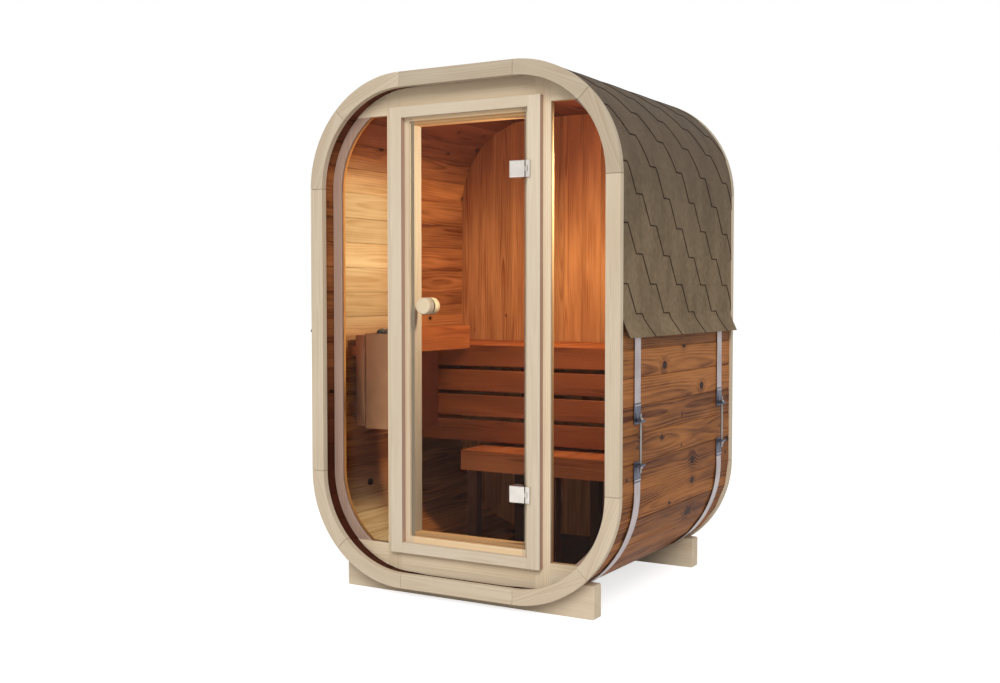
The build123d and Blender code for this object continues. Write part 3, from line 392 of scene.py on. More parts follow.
# painted shade: the cabin floor's staves get a far darker copy of the stave wood, for the shade on the floor
FLOOR_PAINTED_SHADE_WOOD = wood("floor_painted_shade_wood", (84, 42, 22), (38, 18, 9), (24, 11, 6), ring_share=0.4, fibre_share=0.2,
                  patch_share=0.5, tone_range=0.14, knots=0.2, knot_size=0.012, ring_width=0.008)
STAVE_WOOD = wood("stave_wood", (178, 114, 60), (76, 36, 15), (40, 18, 8), ring_share=0.4, fibre_share=0.2,
                  patch_share=0.55, tone_range=0.14, knots=0.34, knot_size=0.018, ring_width=0.008,
                  roughness=0.58, inside=((202, 128, 72), (112, 54, 26)),
                  painted_shade_colours=((132, 72, 50), (70, 32, 20)), painted_light_colours=((238, 212, 164), (206, 166, 114)))
INNER_WOOD = wood("inner_wood", (216, 148, 90), (146, 80, 42), (60, 28, 14), fibre_share=0.3,
                  patch_share=0.4, tone_range=0.12, knots=0.2, painted_shade_colours=((150, 84, 54), (96, 46, 28)))
BENCH_WOOD = wood("bench_wood", (186, 104, 54), (122, 56, 24), (60, 26, 12), tone_range=0.08, knots=0.12,
                  knot_size=0.008, **BENCH)
# painted shade: the bench screen gets a darker copy of the bench wood, for the shade that falls on it
SCREEN_PAINTED_SHADE_WOOD = wood("screen_painted_shade_wood", (168, 88, 44), (104, 46, 20), (56, 24, 11), tone_range=0.08, knots=0.12,
                   knot_size=0.008, **BENCH)
# painted shade: the bearers, battens and legs under the benches get a much darker copy of the bench wood
UNDER_PAINTED_SHADE_WOOD = wood("under_painted_shade_wood", (92, 46, 24), (52, 24, 12), (30, 14, 8), tone_range=0.06, knots=0.0,
                  **BENCH)
BEAM_WOOD = wood("beam_wood", (232, 216, 190), (200, 176, 144), (150, 110, 75), ring_share=0.45,
                 fibre_share=0.25, patch_share=0.35, tone_range=0.05, knots=0.1, knot_size=0.008,
                 ring_width=0.005)
print("woods:", [m.name for m in bpy.data.materials if m.name.endswith("_wood")])

# %% [markdown]
# ## From frame pieces to boards
# A frame piece has perfectly sharp edges, which never catch the light. A planed board has edges eased by a
# millimetre or two. The helper below takes a node's mesh, joins its split corners, melts flat triangles
# into single faces, and bevels only the outward edges. Then it looks at each loose part, which is one
# board, finds its long direction, and writes the two values that the wood shader reads.

# %% Helpers for boards
BOARD_SEED = 7
SHARP = radians(25)
SMOOTH_BELOW = radians(20)
chance = np.random.default_rng(BOARD_SEED)


def node_mesh(node):
    """A node's mesh with joined corners and whole flat faces, ready to be worked on."""
    bm = bmesh.new()
    bm.from_mesh(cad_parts[node].data)
    for face in bm.faces:
        face.material_index = 0
    bmesh.ops.remove_doubles(bm, verts=bm.verts, dist=1e-5)
    bmesh.ops.dissolve_limit(bm, angle_limit=radians(0.5), verts=bm.verts, edges=bm.edges)
    return bm


def loose_parts(bm):
    """The groups of corners that hang together, one for each board."""
    left = set(bm.verts)
    parts = []
    for start in bm.verts:
        if start not in left:
            continue
        left.remove(start)
        part, queue = [start], [start]
        while queue:
            for edge in queue.pop().link_edges:
                for corner in edge.verts:
                    if corner in left:
                        left.remove(corner)
                        part.append(corner)
                        queue.append(corner)
        parts.append(part)
    return parts


def ease_edges(bm, width):
    """Round the outward edges of a mesh."""
    edges = [e for e in bm.edges
             if len(e.link_faces) == 2 and e.is_convex and e.calc_face_angle() > SHARP]
    bmesh.ops.bevel(bm, geom=edges, offset=width, segments=2, profile=0.5, affect="EDGES", clamp_overlap=True)


def long_way(places, axis):
    """A board's three directions, the long one first. axis is X, Y, Z, or FIT to follow the board itself."""
    if axis == "FIT":
        values, directions = np.linalg.eigh(np.cov((places - places.mean(0)).T))
        return directions.T[np.argsort(-values)]
    first = "XYZ".index(axis)
    sizes = np.ptp(places, axis=0)
    others = sorted((i for i in range(3) if i != first), key=lambda i: -sizes[i])
    return np.eye(3)[[first] + others]


SHELL_RADIUS = 0.442
STAVE_DEPTH = 0.038
STRAIGHT_HALF_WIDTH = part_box("shell_right")[1].x - SHELL_RADIUS
STRAIGHT_LOW, STRAIGHT_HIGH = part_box("shell_right")[0].z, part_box("shell_right")[1].z


def corner_centre(spot):
    """The centre of the shell's rounded corner nearest to a spot, as far back as the spot."""
    return Vector((STRAIGHT_HALF_WIDTH if spot.x > 0 else -STRAIGHT_HALF_WIDTH, spot.y,
                   STRAIGHT_HIGH if spot.z > 1 else STRAIGHT_LOW))


def depth_in_shell(spot):
    """0 on the outside of the shell, 1 on the inside."""
    out = max(abs(spot.x) - STRAIGHT_HALF_WIDTH, 0)
    up = max(spot.z - STRAIGHT_HIGH, STRAIGHT_LOW - spot.z, 0)
    return min(max((SHELL_RADIUS - sqrt(out * out + up * up)) / STAVE_DEPTH, 0), 1)


def write_grain(bm, axis, tone_of=None):
    """Give every board a place in the trunk and a tone of its own, and mark how deep in the shell it lies."""
    grain = bm.verts.layers.float_vector.new("grain")
    tone = bm.verts.layers.float.new("board")
    inside = bm.verts.layers.float.new("inside")
    parts = loose_parts(bm)
    for part in parts:
        places = np.array([v.co for v in part])
        ways = long_way(places, axis)
        trunk = (places - places.mean(0)) @ ways.T
        trunk[:, 0] += chance.uniform(0, 40)
        trunk[:, 2] += chance.uniform(-0.02, 0.03)
        value = tone_of(places.mean(0)) if tone_of else chance.uniform()
        for corner, spot in zip(part, trunk):
            corner[grain] = spot
            corner[tone] = value
            corner[inside] = depth_in_shell(corner.co)
    return len(parts)


def piece(name, bm, material, body=CABIN, node=None, smooth_below=SMOOTH_BELOW):
    """Turn a finished mesh into a piece that rides on a body, and that may stand for a node."""
    mesh = bpy.data.meshes.new(name)
    bm.to_mesh(mesh)
    bm.free()
    for finish in material if isinstance(material, list) else [material]:
        mesh.materials.append(finish)
    mesh.shade_smooth()
    mesh.set_sharp_from_angle(angle=smooth_below)
    thing = bpy.data.objects.new(name, mesh)
    bpy.context.scene.collection.objects.link(thing)
    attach(thing, body)
    if node:
        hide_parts(node)
    return thing


def boards(node, axis, material, edge, joints=None, tone_of=None):
    """Make a node's solids into eased boards with grain."""
    bm = node_mesh(node)
    if joints:
        joints(bm)
    ease_edges(bm, edge)
    count = write_grain(bm, axis, tone_of)
    piece(node + "_boards", bm, material, node=node)
    print(node, "is now", count, "boards")


def eased(node, material, edge, body=CABIN):
    """A node's own shape with eased edges."""
    bm = node_mesh(node)
    ease_edges(bm, edge)
    piece(node + "_eased", bm, material, body=body, node=node)


def skin(loops):
    """A closed tube over a row of loops of places, with a face at each end."""
    bm = bmesh.new()
    loops = [[bm.verts.new(place) for place in loop] for loop in loops]
    for a, b in zip(loops, loops[1:]):
        for i in range(len(a)):
            k = (i + 1) % len(a)
            bm.faces.new((a[i], a[k], b[k], b[i]))
    bm.faces.new(loops[0])
    bm.faces.new(loops[-1])
    bmesh.ops.recalc_face_normals(bm, faces=bm.faces)
    return bm


def band(inner, outer, front, rear):
    """A bar between two lines of (x, z), from front to rear."""
    return skin([[(a, front, b), (c, front, d), (c, rear, d), (a, rear, b)]
                 for (a, b), (c, d) in zip(inner, outer)])


def turned(profile, centre, axis, segments):
    """A shape turned on a lathe: profile is (radius, distance along the axis) from end to end."""
    bm = bmesh.new()
    turn = Vector((0, 0, 1)).rotation_difference(Vector(axis)).to_matrix()
    rings = []
    for radius, along in profile:
        angles = [2 * pi * i / segments for i in range(segments if radius else 1)]
        rings.append([bm.verts.new(turn @ Vector((radius * cos(a), radius * sin(a), along)) + Vector(centre))
                      for a in angles])
    for a, b in zip(rings, rings[1:]):
        for i in range(segments):
            corners = [a[i % len(a)], a[(i + 1) % len(a)], b[(i + 1) % len(b)], b[i % len(b)]]
            unique = list(dict.fromkeys(corners))
            if len(unique) > 2:
                bm.faces.new(unique)
    bmesh.ops.recalc_face_normals(bm, faces=bm.faces)
    return bm


def gather(parts):
    """Join several meshes into one."""
    joined = bmesh.new()
    for part in parts:
        holder = bpy.data.meshes.new("holder")
        part.to_mesh(holder)
        part.free()
        joined.from_mesh(holder)
        bpy.data.meshes.remove(holder)
    return joined


print("boards have edges rounded from", round(degrees(SHARP)), "degrees on")

# %% [markdown]
# ## End rings, front wall and benches
# The rings are cut from straight planks, so the grain of a curved bar runs along its chord, which is what
# FIT finds. Their butt joints stand open by a hair, as they do once the wood has dried: the ends are drawn
# back from the planes where two bars meet. The staves that turn the shell's corners are the opposite: their
# tongues reach into the next stave, so no daylight shows there. The wall's boards are sawn round where they
# follow the shell. Bench edges touch bare skin, so they are rounded most.

# %% Boards that only need eased edges and grain
PLANED_EDGE = 0.0015
BENCH_EDGE = 0.003
BEAM_EDGE = 0.002

RING_JOINT_GAP = 0.0040
ON_JOINT = 2e-4
ACROSS_JOINT = 0.02
TONGUE = 0.0005
# the bars' end faces in the open joints: end grain, darker than the face, and darker still as painted shade in
# the gap
END_GRAIN_AND_PAINTED_SHADE = wood("end_grain_and_painted_shade", (84, 54, 36), (52, 32, 20), (70, 46, 30), knots=0.0, tone_range=0.05)
JOINT_PLANES = [(Vector((1, 0, 0)), side * STRAIGHT_HALF_WIDTH) for side in (-1, 1)]
JOINT_PLANES += [(Vector((0, 0, 1)), height) for height in (STRAIGHT_LOW, STRAIGHT_HIGH)]
for side in (-1, 1):
    for height, up in ((STRAIGHT_LOW, -1), (STRAIGHT_HIGH, 1)):
        across = Vector((side, 0, -up)).normalized()
        JOINT_PLANES.append((across, across.dot(Vector((side * STRAIGHT_HALF_WIDTH, 0, height)))))


def open_ring_joints(bm):
    """Draw each bar's ends back from the joint planes."""
    for part in loose_parts(bm):
        middle = sum((v.co for v in part), Vector()) / len(part)
        for normal, distance in JOINT_PLANES:
            on_plane = [v for v in part if abs(normal.dot(v.co) - distance) < ON_JOINT]
            if abs(normal.dot(middle) - distance) < ACROSS_JOINT:
                continue
            side = 1 if normal.dot(middle) > distance else -1
            ends = {f for v in on_plane for f in v.link_faces if all(c in on_plane for c in f.verts)}
            # the end faces get the second finish: end grain with painted shade
            for face in ends:
                face.material_index = 1
            for corner in on_plane:
                corner.co += normal * side * RING_JOINT_GAP / 2


def ring_tone(middle):
    """The top bars are darker, most of all the straight one and those on its right."""
    if middle[2] > STRAIGHT_HIGH:
        return 0.08 if middle[0] > -STRAIGHT_HALF_WIDTH else 0.30
    return 0.40 if middle[0] > STRAIGHT_HALF_WIDTH and middle[2] > STRAIGHT_LOW else 0.5


for end in ("front", "rear"):
    boards(end + "_ring_arcs", "FIT", [RING_WOOD, END_GRAIN_AND_PAINTED_SHADE], PLANED_EDGE, open_ring_joints, ring_tone)
    boards(end + "_ring_straights", "FIT", [RING_WOOD, END_GRAIN_AND_PAINTED_SHADE], PLANED_EDGE, open_ring_joints, ring_tone)
    boards(end + "_beam", "X", BEAM_WOOD, BEAM_EDGE)

WALL_RADIUS = 0.4003
OUTLINE_CUTS = 6
OUTLINE_SLACK = 0.0004
FACET_LENGTH = 0.01


def shell_corner(spot):
    """The way from the centre of the shell's nearest corner to a spot, or None beside a flat part."""
    if abs(spot.x) < STRAIGHT_HALF_WIDTH - 1e-4 or STRAIGHT_LOW + 1e-4 < spot.z < STRAIGHT_HIGH - 1e-4:
        return None
    return spot - corner_centre(spot)


def round_outline(bm):
    """Saw the outline that follows the shell as a true curve."""
    def on_outline(corner):
        way = shell_corner(corner.co)
        return way is not None and way.length > WALL_RADIUS - OUTLINE_SLACK

    edges = [e for e in bm.edges if all(on_outline(v) for v in e.verts) and e.calc_length() > FACET_LENGTH
             and abs(e.verts[0].co.y - e.verts[1].co.y) < 1e-4]
    bmesh.ops.subdivide_edges(bm, edges=edges, cuts=OUTLINE_CUTS)
    for corner in bm.verts:
        if on_outline(corner):
            way = shell_corner(corner.co)
            corner.co -= way * (1 - WALL_RADIUS / way.length)


for node, axis in (("front_header", "X"), ("front_base", "X"), ("front_posts", "Z"),
                   ("front_corner_boards", "X")):
    boards(node, axis, WALL_WOOD, PLANED_EDGE, round_outline)
boards("door_jamb_sides", "Z", JAMB_WOOD, PLANED_EDGE)
boards("door_jamb_rails", "X", SILL_WOOD, PLANED_EDGE)


def paint_shade_on_sides(bm):
    """Give the casing's edges that face sideways the second finish, a painted shade."""
    for face in bm.faces:
        if abs(face.normal.x) > 0.9:
            face.material_index = 1


boards("door_casing_sides", "Z", [CASING_WOOD, CASING_SIDE_PAINTED_SHADE], PLANED_EDGE, paint_shade_on_sides)
boards("door_casing_rails", "X", CASING_WOOD, PLANED_EDGE)
for node, axis in (("upper_bench_slats", "Y"), ("lower_bench_slats", "Y"), ("lower_bench_fascia", "FIT"),
                   ("heater_guard_rail", "Y")):
    boards(node, axis, BENCH_WOOD, BENCH_EDGE)
boards("bench_screen_slats", "X", SCREEN_PAINTED_SHADE_WOOD, BENCH_EDGE)
for node, axis in (("upper_bench_bearers", "FIT"), ("bench_screen_battens", "Z"),
                   ("lower_bench_bearers", "FIT"), ("lower_bench_legs", "Z")):
    boards(node, axis, UNDER_PAINTED_SHADE_WOOD, BENCH_EDGE)


def close_corner_joints(bm):
    """Let each corner stave reach a hair into its neighbours, as its tongue does."""
    for part in loose_parts(bm):
        middle = sum((v.co for v in part), Vector()) / len(part)
        centre = corner_centre(middle)
        out = (middle - centre).normalized()
        round_way = Vector((-out.z, 0, out.x))
        for corner in part:
            corner.co += round_way * (TONGUE if round_way.dot(corner.co - centre) > 0 else -TONGUE)


for corner in ("upper_right", "upper_left", "lower_left", "lower_right"):
    boards("shell_corner_" + corner, "Y", STAVE_WOOD, PLANED_EDGE, close_corner_joints)

# %% [markdown]
# ## Curved window frames
# Each window is framed by one crescent of wood: straight down the side and round at both ends, cut off
# level where it meets the boards above and below. Its inner line is a true curve, so it is built from many
# short steps along that line, each with the frame's square section, and the grain follows the line.

# %% Window frames
FRAME_INNER_RADIUS = {-1: 0.357, 1: 0.3645}
FRAME_STEPS = 28
frame_low, frame_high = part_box("window_frames")


def frame_line(radius):
    """(x, z) along the curve at this radius, from the lower cut to the upper one."""
    low_turn = asin((STRAIGHT_LOW - frame_low.z) / radius)
    high_turn = asin((frame_high.z - STRAIGHT_HIGH) / radius)
    turns = [(STRAIGHT_LOW, low_turn * (i / FRAME_STEPS - 1)) for i in range(FRAME_STEPS + 1)]
    turns += [(STRAIGHT_HIGH, high_turn * i / FRAME_STEPS) for i in range(FRAME_STEPS + 1)]
    return [(STRAIGHT_HALF_WIDTH + radius * cos(turn), z + radius * sin(turn)) for z, turn in turns]


def window_frame(side):
    """One crescent-shaped frame."""
    inner, outer = [[(side * x, z) for x, z in frame_line(radius)]
                    for radius in (FRAME_INNER_RADIUS[side], WALL_RADIUS)]
    bm = band(inner, outer, frame_low.y, frame_high.y)
    ease_edges(bm, PLANED_EDGE)
    return bm


window_frames = gather([window_frame(side) for side in (-1, 1)])
write_grain(window_frames, "Z")
piece("window_frames_curved", window_frames, FRAME_PAINTED_SHADE_WOOD, node="window_frames")
print("window frames:", round(frame_high.z - frame_low.z, 3), "m high")

# %% [markdown]
# ## Staves of the flat sides and the back wall
# The flat parts of the shell and the back wall are single panels in the frame, grooved where one stave
# meets the next. On the real cabin they are separate boards joined tongue in groove, each with its own
# tone. So each panel is cut through the middle of every groove, the cut is closed, and the slices become
# boards. The outermost ones reach a tongue further, into the corner staves.

# %% Cut the panels into staves
STAVE_WIDTH = 0.108
BACK_BOARD_WIDTH = 0.096
SAW_GAP = 0.0004


def keep_side(bm, place, normal):
    """Cut a mesh with a plane, drop the side that the normal points to, and close the cut."""
    everything = bm.verts[:] + bm.edges[:] + bm.faces[:]
    cut = bmesh.ops.bisect_plane(bm, geom=everything, plane_co=place, plane_no=normal, clear_outer=True)
    rim = [e for e in cut["geom_cut"] if isinstance(e, bmesh.types.BMEdge)]
    bmesh.ops.holes_fill(bm, edges=rim, sides=0)


def staves(node, across, grain_axis, width, material):
    """Cut a panel into boards across X or Z."""
    low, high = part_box(node)
    way = Vector((1, 0, 0)) if across == "X" else Vector((0, 0, 1))
    start, end = low.dot(way), high.dot(way)
    count = round((end - start) / width)
    slices = []
    for i in range(count):
        board = node_mesh(node)
        for corner in board.verts:
            along = corner.co.dot(way)
            if min(along - start, end - along) < 1e-4 and node != "back_wall":
                corner.co += way * (TONGUE if along > (start + end) / 2 else -TONGUE)
        first, last = (start + (end - start) * k / count for k in (i, i + 1))
        if i > 0:
            keep_side(board, way * (first + SAW_GAP), -way)
        if i < count - 1:
            keep_side(board, way * (last - SAW_GAP), way)
        slices.append(board)
    panel = gather(slices)
    write_grain(panel, grain_axis)
    piece(node + "_staves", panel, material, node=node)
    print(node, "is cut into", count, "boards")


for node, across in (("shell_right", "Z"), ("shell_left", "Z"), ("shell_roof_deck", "X")):
    staves(node, across, "Y", STAVE_WIDTH, STAVE_WOOD)
staves("shell_floor", "X", "Y", STAVE_WIDTH, FLOOR_PAINTED_SHADE_WOOD)
staves("back_wall", "X", "Z", BACK_BOARD_WIDTH, INNER_WOOD)

# %% [markdown]
# ## Screws in the end rings
# The bars of the rings are screwed to the shell behind them. A head is a short cylinder whose middle is
# pushed in for the driver. Each one lies a hair below the face of the wood, so it doesn't show.

# %% Ring screws
SCREW_HEAD = 0.0050
SCREW_LENGTH = 0.004
SCREW_SUNK = 0.0003
STAR_RADIUS = 0.0024
STAR_DEPTH = 0.0016
METAL_RELIEF = 0.0001
RING_SCREWS = [(0.680, 0.513), (-0.144, 0.079), (0.295, 2.095), (0.325, 2.096), (0.443, 2.051)]


def metal(name, tint, roughness, brushed=0.0, stretch=(900.0, 900.0, 900.0)):
    """A metal whose roughness and tint vary a little, with fine lines where it is brushed."""
    g = Graph(name)
    bright = colour(*tint)
    dull = tuple(v * 0.86 for v in bright[:3]) + (1.0,)
    lines = g.noise(g.place(), stretch=stretch)
    blotch = g.noise(g.place(), scale=14.0, detail=3.0)
    worn = g.spread(blotch, 0.3, 0.7, roughness, roughness + 0.08)
    g.bump(lines, METAL_RELIEF, 0.5)
    return g.surface({"Base Color": g.blend(g.spread(blotch, 0.3, 0.7), bright, dull),
                      "Roughness": g.plus(g.times(lines, brushed), worn), "Metallic": 1.0})


def screw_head(place, way):
    """A screw head with a recess for the driver, facing along way."""
    profile = [(0, -STAR_DEPTH), (STAR_RADIUS * 0.9, -STAR_DEPTH), (STAR_RADIUS, 0), (SCREW_HEAD * 0.8, 0),
               (SCREW_HEAD, -SCREW_HEAD * 0.2), (SCREW_HEAD, -SCREW_LENGTH), (0, -SCREW_LENGTH)]
    return turned(profile, place, way, segments=12)


LOCK_STEEL = metal("lock_steel", (96, 98, 112), 0.42)
SCREW_STEEL = metal("screw_steel", (84, 72, 58), 0.55)
head_face = CAD_BOX[0][1] + SCREW_SUNK
ring_heads = [screw_head((x * -way, head_face * -way, z), (0, way, 0))
              for way in (-1, 1) for x, z in RING_SCREWS]
piece("ring_screws", gather(ring_heads), SCREW_STEEL)
print("ring screws:", len(ring_heads))

# %% [markdown]
# ## Shingled cover
# The roof is covered with strips of bitumen shingle. Each strip steps down towards the rear like a
# staircase: a short level edge, then a slant across one course. Every strip overlaps its neighbour, so its
# lower left edge stands a few millimetres proud and its far edge dips under the next. Painting such edges
# would look flat, so each strip is real geometry: rows of thin tilted slabs laid on a felt that follows the
# shell, from the flared lower edge up the side and round the corner to the ridge.

# %% The section that the cover follows
SHELL_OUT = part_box("shell_right")[1].x
SHELL_TOP = STRAIGHT_HIGH + SHELL_RADIUS
COVER_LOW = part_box("roof_cover")[0].z
FLARE_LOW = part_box("roof_edges")[0].z
FLARE_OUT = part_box("roof_edges")[1].x
COVER_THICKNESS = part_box("roof_cover")[1].x - SHELL_OUT
FLARE_LENGTH = sqrt((COVER_LOW - FLARE_LOW) ** 2 + (FLARE_OUT - SHELL_OUT - COVER_THICKNESS) ** 2)
SIDE_LENGTH = STRAIGHT_HIGH - COVER_LOW
ARC_LENGTH = SHELL_RADIUS * pi / 2
COVER_LENGTH = SIDE_LENGTH + ARC_LENGTH + STRAIGHT_HALF_WIDTH
COVER_FRONT, COVER_REAR = (corner.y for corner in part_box("roof_cover"))


def on_cover(along, height, side):
    """(x, z) of a spot along the section, at a height over the shell. 0 is the side's lower end."""
    if along < 0:
        down = -along / FLARE_LENGTH
        flare = (FLARE_OUT - SHELL_OUT - COVER_THICKNESS) * down ** 1.2
        return side * (SHELL_OUT + flare + height), COVER_LOW - (COVER_LOW - FLARE_LOW) * down
    if along < SIDE_LENGTH:
        return side * (SHELL_OUT + height), COVER_LOW + along
    if along < SIDE_LENGTH + ARC_LENGTH:
        angle = (along - SIDE_LENGTH) / SHELL_RADIUS
        reach = SHELL_RADIUS + height
        return side * (STRAIGHT_HALF_WIDTH + reach * cos(angle)), STRAIGHT_HIGH + reach * sin(angle)
    return side * (COVER_LENGTH - along), SHELL_TOP + height


print("the cover runs", round(COVER_LENGTH + FLARE_LENGTH, 3), "m from its lower edge to the ridge")

# %% Felt, shingles and ridge caps
def bitumen(name, light, dark, darker_high=None):
    """Felt faced with stone granules: speckled, rough, with soft stains that run down it. Its upper part may
    turn darker towards the top."""
    g = Graph(name)
    grit = g.noise(g.place(), scale=620.0, rough=0.7)
    mottle = g.noise(g.place(), scale=42.0, detail=4.0, rough=0.65)
    stain = g.noise(g.place(), detail=4.0, rough=0.6, stretch=(3.0, 9.0, 2.2))
    share = g.plus(g.times(g.spread(grit, 0.25, 0.75), 0.3), g.times(g.spread(mottle, 0.25, 0.75), 0.4))
    share = g.plus(share, g.times(g.spread(stain, 0.3, 0.7), 0.35), clamp=True)
    base = g.blend(share, colour(*light), colour(*dark))
    if darker_high:
        base = g.blend(g.along("Z", 1.2, 2.05, 0.0, 0.6), base, colour(*darker_high))
    g.bump(g.plus(grit, g.times(mottle, 0.6)), 0.0012, 0.7)
    return g.surface({"Base Color": base, "Roughness": 0.92, "Specular IOR Level": 0.2})


SHINGLE = bitumen("roof_shingle", (146, 126, 99), (98, 82, 62), darker_high=(74, 66, 62))
# the dark finish of the cut edges and the felt: the bare bitumen's own dark colour, made darker as painted
# shade along the laps
SHINGLE_EDGE_AND_PAINTED_SHADE = bitumen("shingle_edge_and_painted_shade", (56, 40, 28), (32, 22, 16))
FELT_LOW = 0.0020
FELT_TOP = 0.0036
FELT_STEPS = 90
SHINGLE_FOOT = FELT_TOP - 0.0006
LAP_LOW = 0.0012
LAP_STEP = 0.0024
EDGE_FOOT = 0.0050
# painted shadow line: the width of the dark band on each strip's top, along its lower and left edges
PAINTED_SHADOW_LINE = 0.0022
COURSE = 0.1116
STRIP = 0.266
STRIPS = range(-12, 24)
LEVEL_EDGE = 0.057
SLANT = 0.077
FIRST_COURSE = 0.015
FIRST_STEP = 0.415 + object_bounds()[0].y
ROWS_PER_COURSE = 6
RIDGE_HALF = 0.085
RIDGE_CAPS = 8
RIDGE_LAP = 0.0022
SHINGLE_FRONT, SHINGLE_REAR = COVER_FRONT + 0.0005, COVER_REAR - 0.0005
SHINGLE_HIGHEST = COVER_THICKNESS - 0.0001
WAVE = 0.0004


def felt_sheet():
    """The felt under the shingles, over both sides and the ridge."""
    spots = [-FLARE_LENGTH + (COVER_LENGTH + FLARE_LENGTH) * i / FELT_STEPS for i in range(FELT_STEPS + 1)]
    line = [(s, 1) for s in spots] + [(s, -1) for s in reversed(spots[:-1])]
    low, top = [[on_cover(s, height, side) for s, side in line] for height in (FELT_LOW, FELT_TOP)]
    return band(low, top, COVER_FRONT, COVER_REAR)


def slab(bm, rows, rim=0):
    """A closed thin slab. Each row is a list of (top, bottom) places, from the slab's left to its right. With
    a rim, the first column of its top and that many faces of the first row get the dark edge finish, a painted
    shadow line."""
    tops = [[bm.verts.new(top) for top, _ in row] for row in rows]
    bottoms = [[bm.verts.new(bottom) for _, bottom in row] for row in rows]
    last, width = len(rows) - 1, len(rows[0]) - 1
    for i in range(last):
        for j in range(width):
            face = bm.faces.new((tops[i][j], tops[i][j + 1], tops[i + 1][j + 1], tops[i + 1][j]))
            face.material_index = int(rim > 0 and (j == 0 or (i == 0 and j < rim)))
            bm.faces.new((bottoms[i][j], bottoms[i + 1][j], bottoms[i + 1][j + 1], bottoms[i][j + 1]))
    walls = [[(i, 0) for i in range(last + 1)], [(i, width) for i in range(last + 1)],
             [(0, j) for j in range(width + 1)], [(last, j) for j in range(width + 1)]]
    for wall in walls:
        for (i, j), (k, m) in zip(wall, wall[1:]):
            face = bm.faces.new((tops[i][j], tops[k][m], bottoms[k][m], bottoms[i][j]))
            face.material_index = 1


def shingle_side(side):
    """The strips on one side, course by course."""
    bm = bmesh.new()
    top = COVER_LENGTH - RIDGE_HALF
    shares = [0, PAINTED_SHADOW_LINE / COURSE] + [k / ROWS_PER_COURSE for k in range(1, ROWS_PER_COURSE + 1)]
    for course in range(-1, ceil((top - FIRST_COURSE) / COURSE)):
        low = FIRST_COURSE + COURSE * course
        for strip in STRIPS:
            step = FIRST_STEP + STRIP * strip - (LEVEL_EDGE + SLANT) * course
            rows = []
            for r, share in enumerate(shares):
                along = min(max(low + COURSE * share, -FLARE_LENGTH), top)
                up = (along - low) / COURSE
                middle = step + LEVEL_EDGE / 2 - (LEVEL_EDGE + SLANT) * up
                foot = EDGE_FOOT if r == 0 else 0
                row = []
                for c, across in enumerate((0, PAINTED_SHADOW_LINE, LEVEL_EDGE, STRIP)):
                    y = min(max(step - SLANT * up + across, SHINGLE_FRONT), SHINGLE_REAR)
                    raised = LAP_STEP * (1 - min(max((y - middle) / STRIP, 0.0), 1.0))
                    ripple = WAVE * noise.noise(Vector((y * 7, along * 9, side)))
                    height = min(FELT_TOP + LAP_LOW + raised + ripple, SHINGLE_HIGHEST)
                    x, z = on_cover(along, height, side)
                    x_low, z_low = on_cover(max(along - foot, -FLARE_LENGTH), SHINGLE_FOOT, side)
                    y_low = max(y - EDGE_FOOT, COVER_FRONT) if c == 0 else y
                    row.append(((x, y, z), (x_low, y_low, z_low)))
                rows.append(row)
            if max(r[-1][0][1] - r[0][0][1] for r in rows) > 0.002 and rows[0] != rows[-1]:
                slab(bm, rows, rim=2)
    bmesh.ops.dissolve_degenerate(bm, dist=1e-6, edges=bm.edges)
    bmesh.ops.recalc_face_normals(bm, faces=bm.faces)
    return bm


def ridge_caps():
    """Single caps along the ridge, each lapping over the next towards the rear."""
    bm = bmesh.new()
    top, low = SHELL_TOP + SHINGLE_HIGHEST, SHELL_TOP + SHINGLE_FOOT
    joints = np.linspace(SHINGLE_FRONT, SHINGLE_REAR, RIDGE_CAPS + 1)
    for front, rear in zip(joints, joints[1:]):
        slab(bm, [[((x, front, top - RIDGE_LAP), (x, front, low)), ((x, rear, top), (x, rear, low))]
                  for x in (-RIDGE_HALF, -RIDGE_HALF / 3, RIDGE_HALF / 3, RIDGE_HALF)])
    bmesh.ops.recalc_face_normals(bm, faces=bm.faces)
    return bm


piece("roof_felt", felt_sheet(), SHINGLE_EDGE_AND_PAINTED_SHADE, node="roof_cover")
piece("roof_shingles", gather([shingle_side(1), shingle_side(-1), ridge_caps()]), [SHINGLE, SHINGLE_EDGE_AND_PAINTED_SHADE],
      node="roof_edges")

# %% [markdown]
# ## Straps and tension locks
# Two flat steel bands hold the staves together. Each is open on the right side, where a lock pulls its ends
# together: a plate on each end with a bent lug, and a threaded bolt between the lugs. Threads are fine, but
# the eye reads them at once, so the bolt gets a real helical ridge.

# %% Straps
STRAP_STEEL = metal("strap_steel", (176, 166, 166), 0.4, brushed=0.12, stretch=(60.0, 1400.0, 60.0))
STRAP_WIDTH = 0.055
STRAP_THICKNESS = 0.0015
STRAP_STAND_OFF = 0.0036
STRAP_UNDER_COVER = 0.0002
STRAP_TOP_END = 0.800
STRAP_LOW_END = 0.538
STRAP_TOP_STEPS = 30
STRAP_TURN_STEPS = 24
STRAP_LOW_STEPS = 6
TUCK_START = 0.02
TUCK_LENGTH = 0.06
STRAP_MIDDLES = {node: sum(corner.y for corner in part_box(node)) / 2 for node in ("front_strap", "rear_strap")}


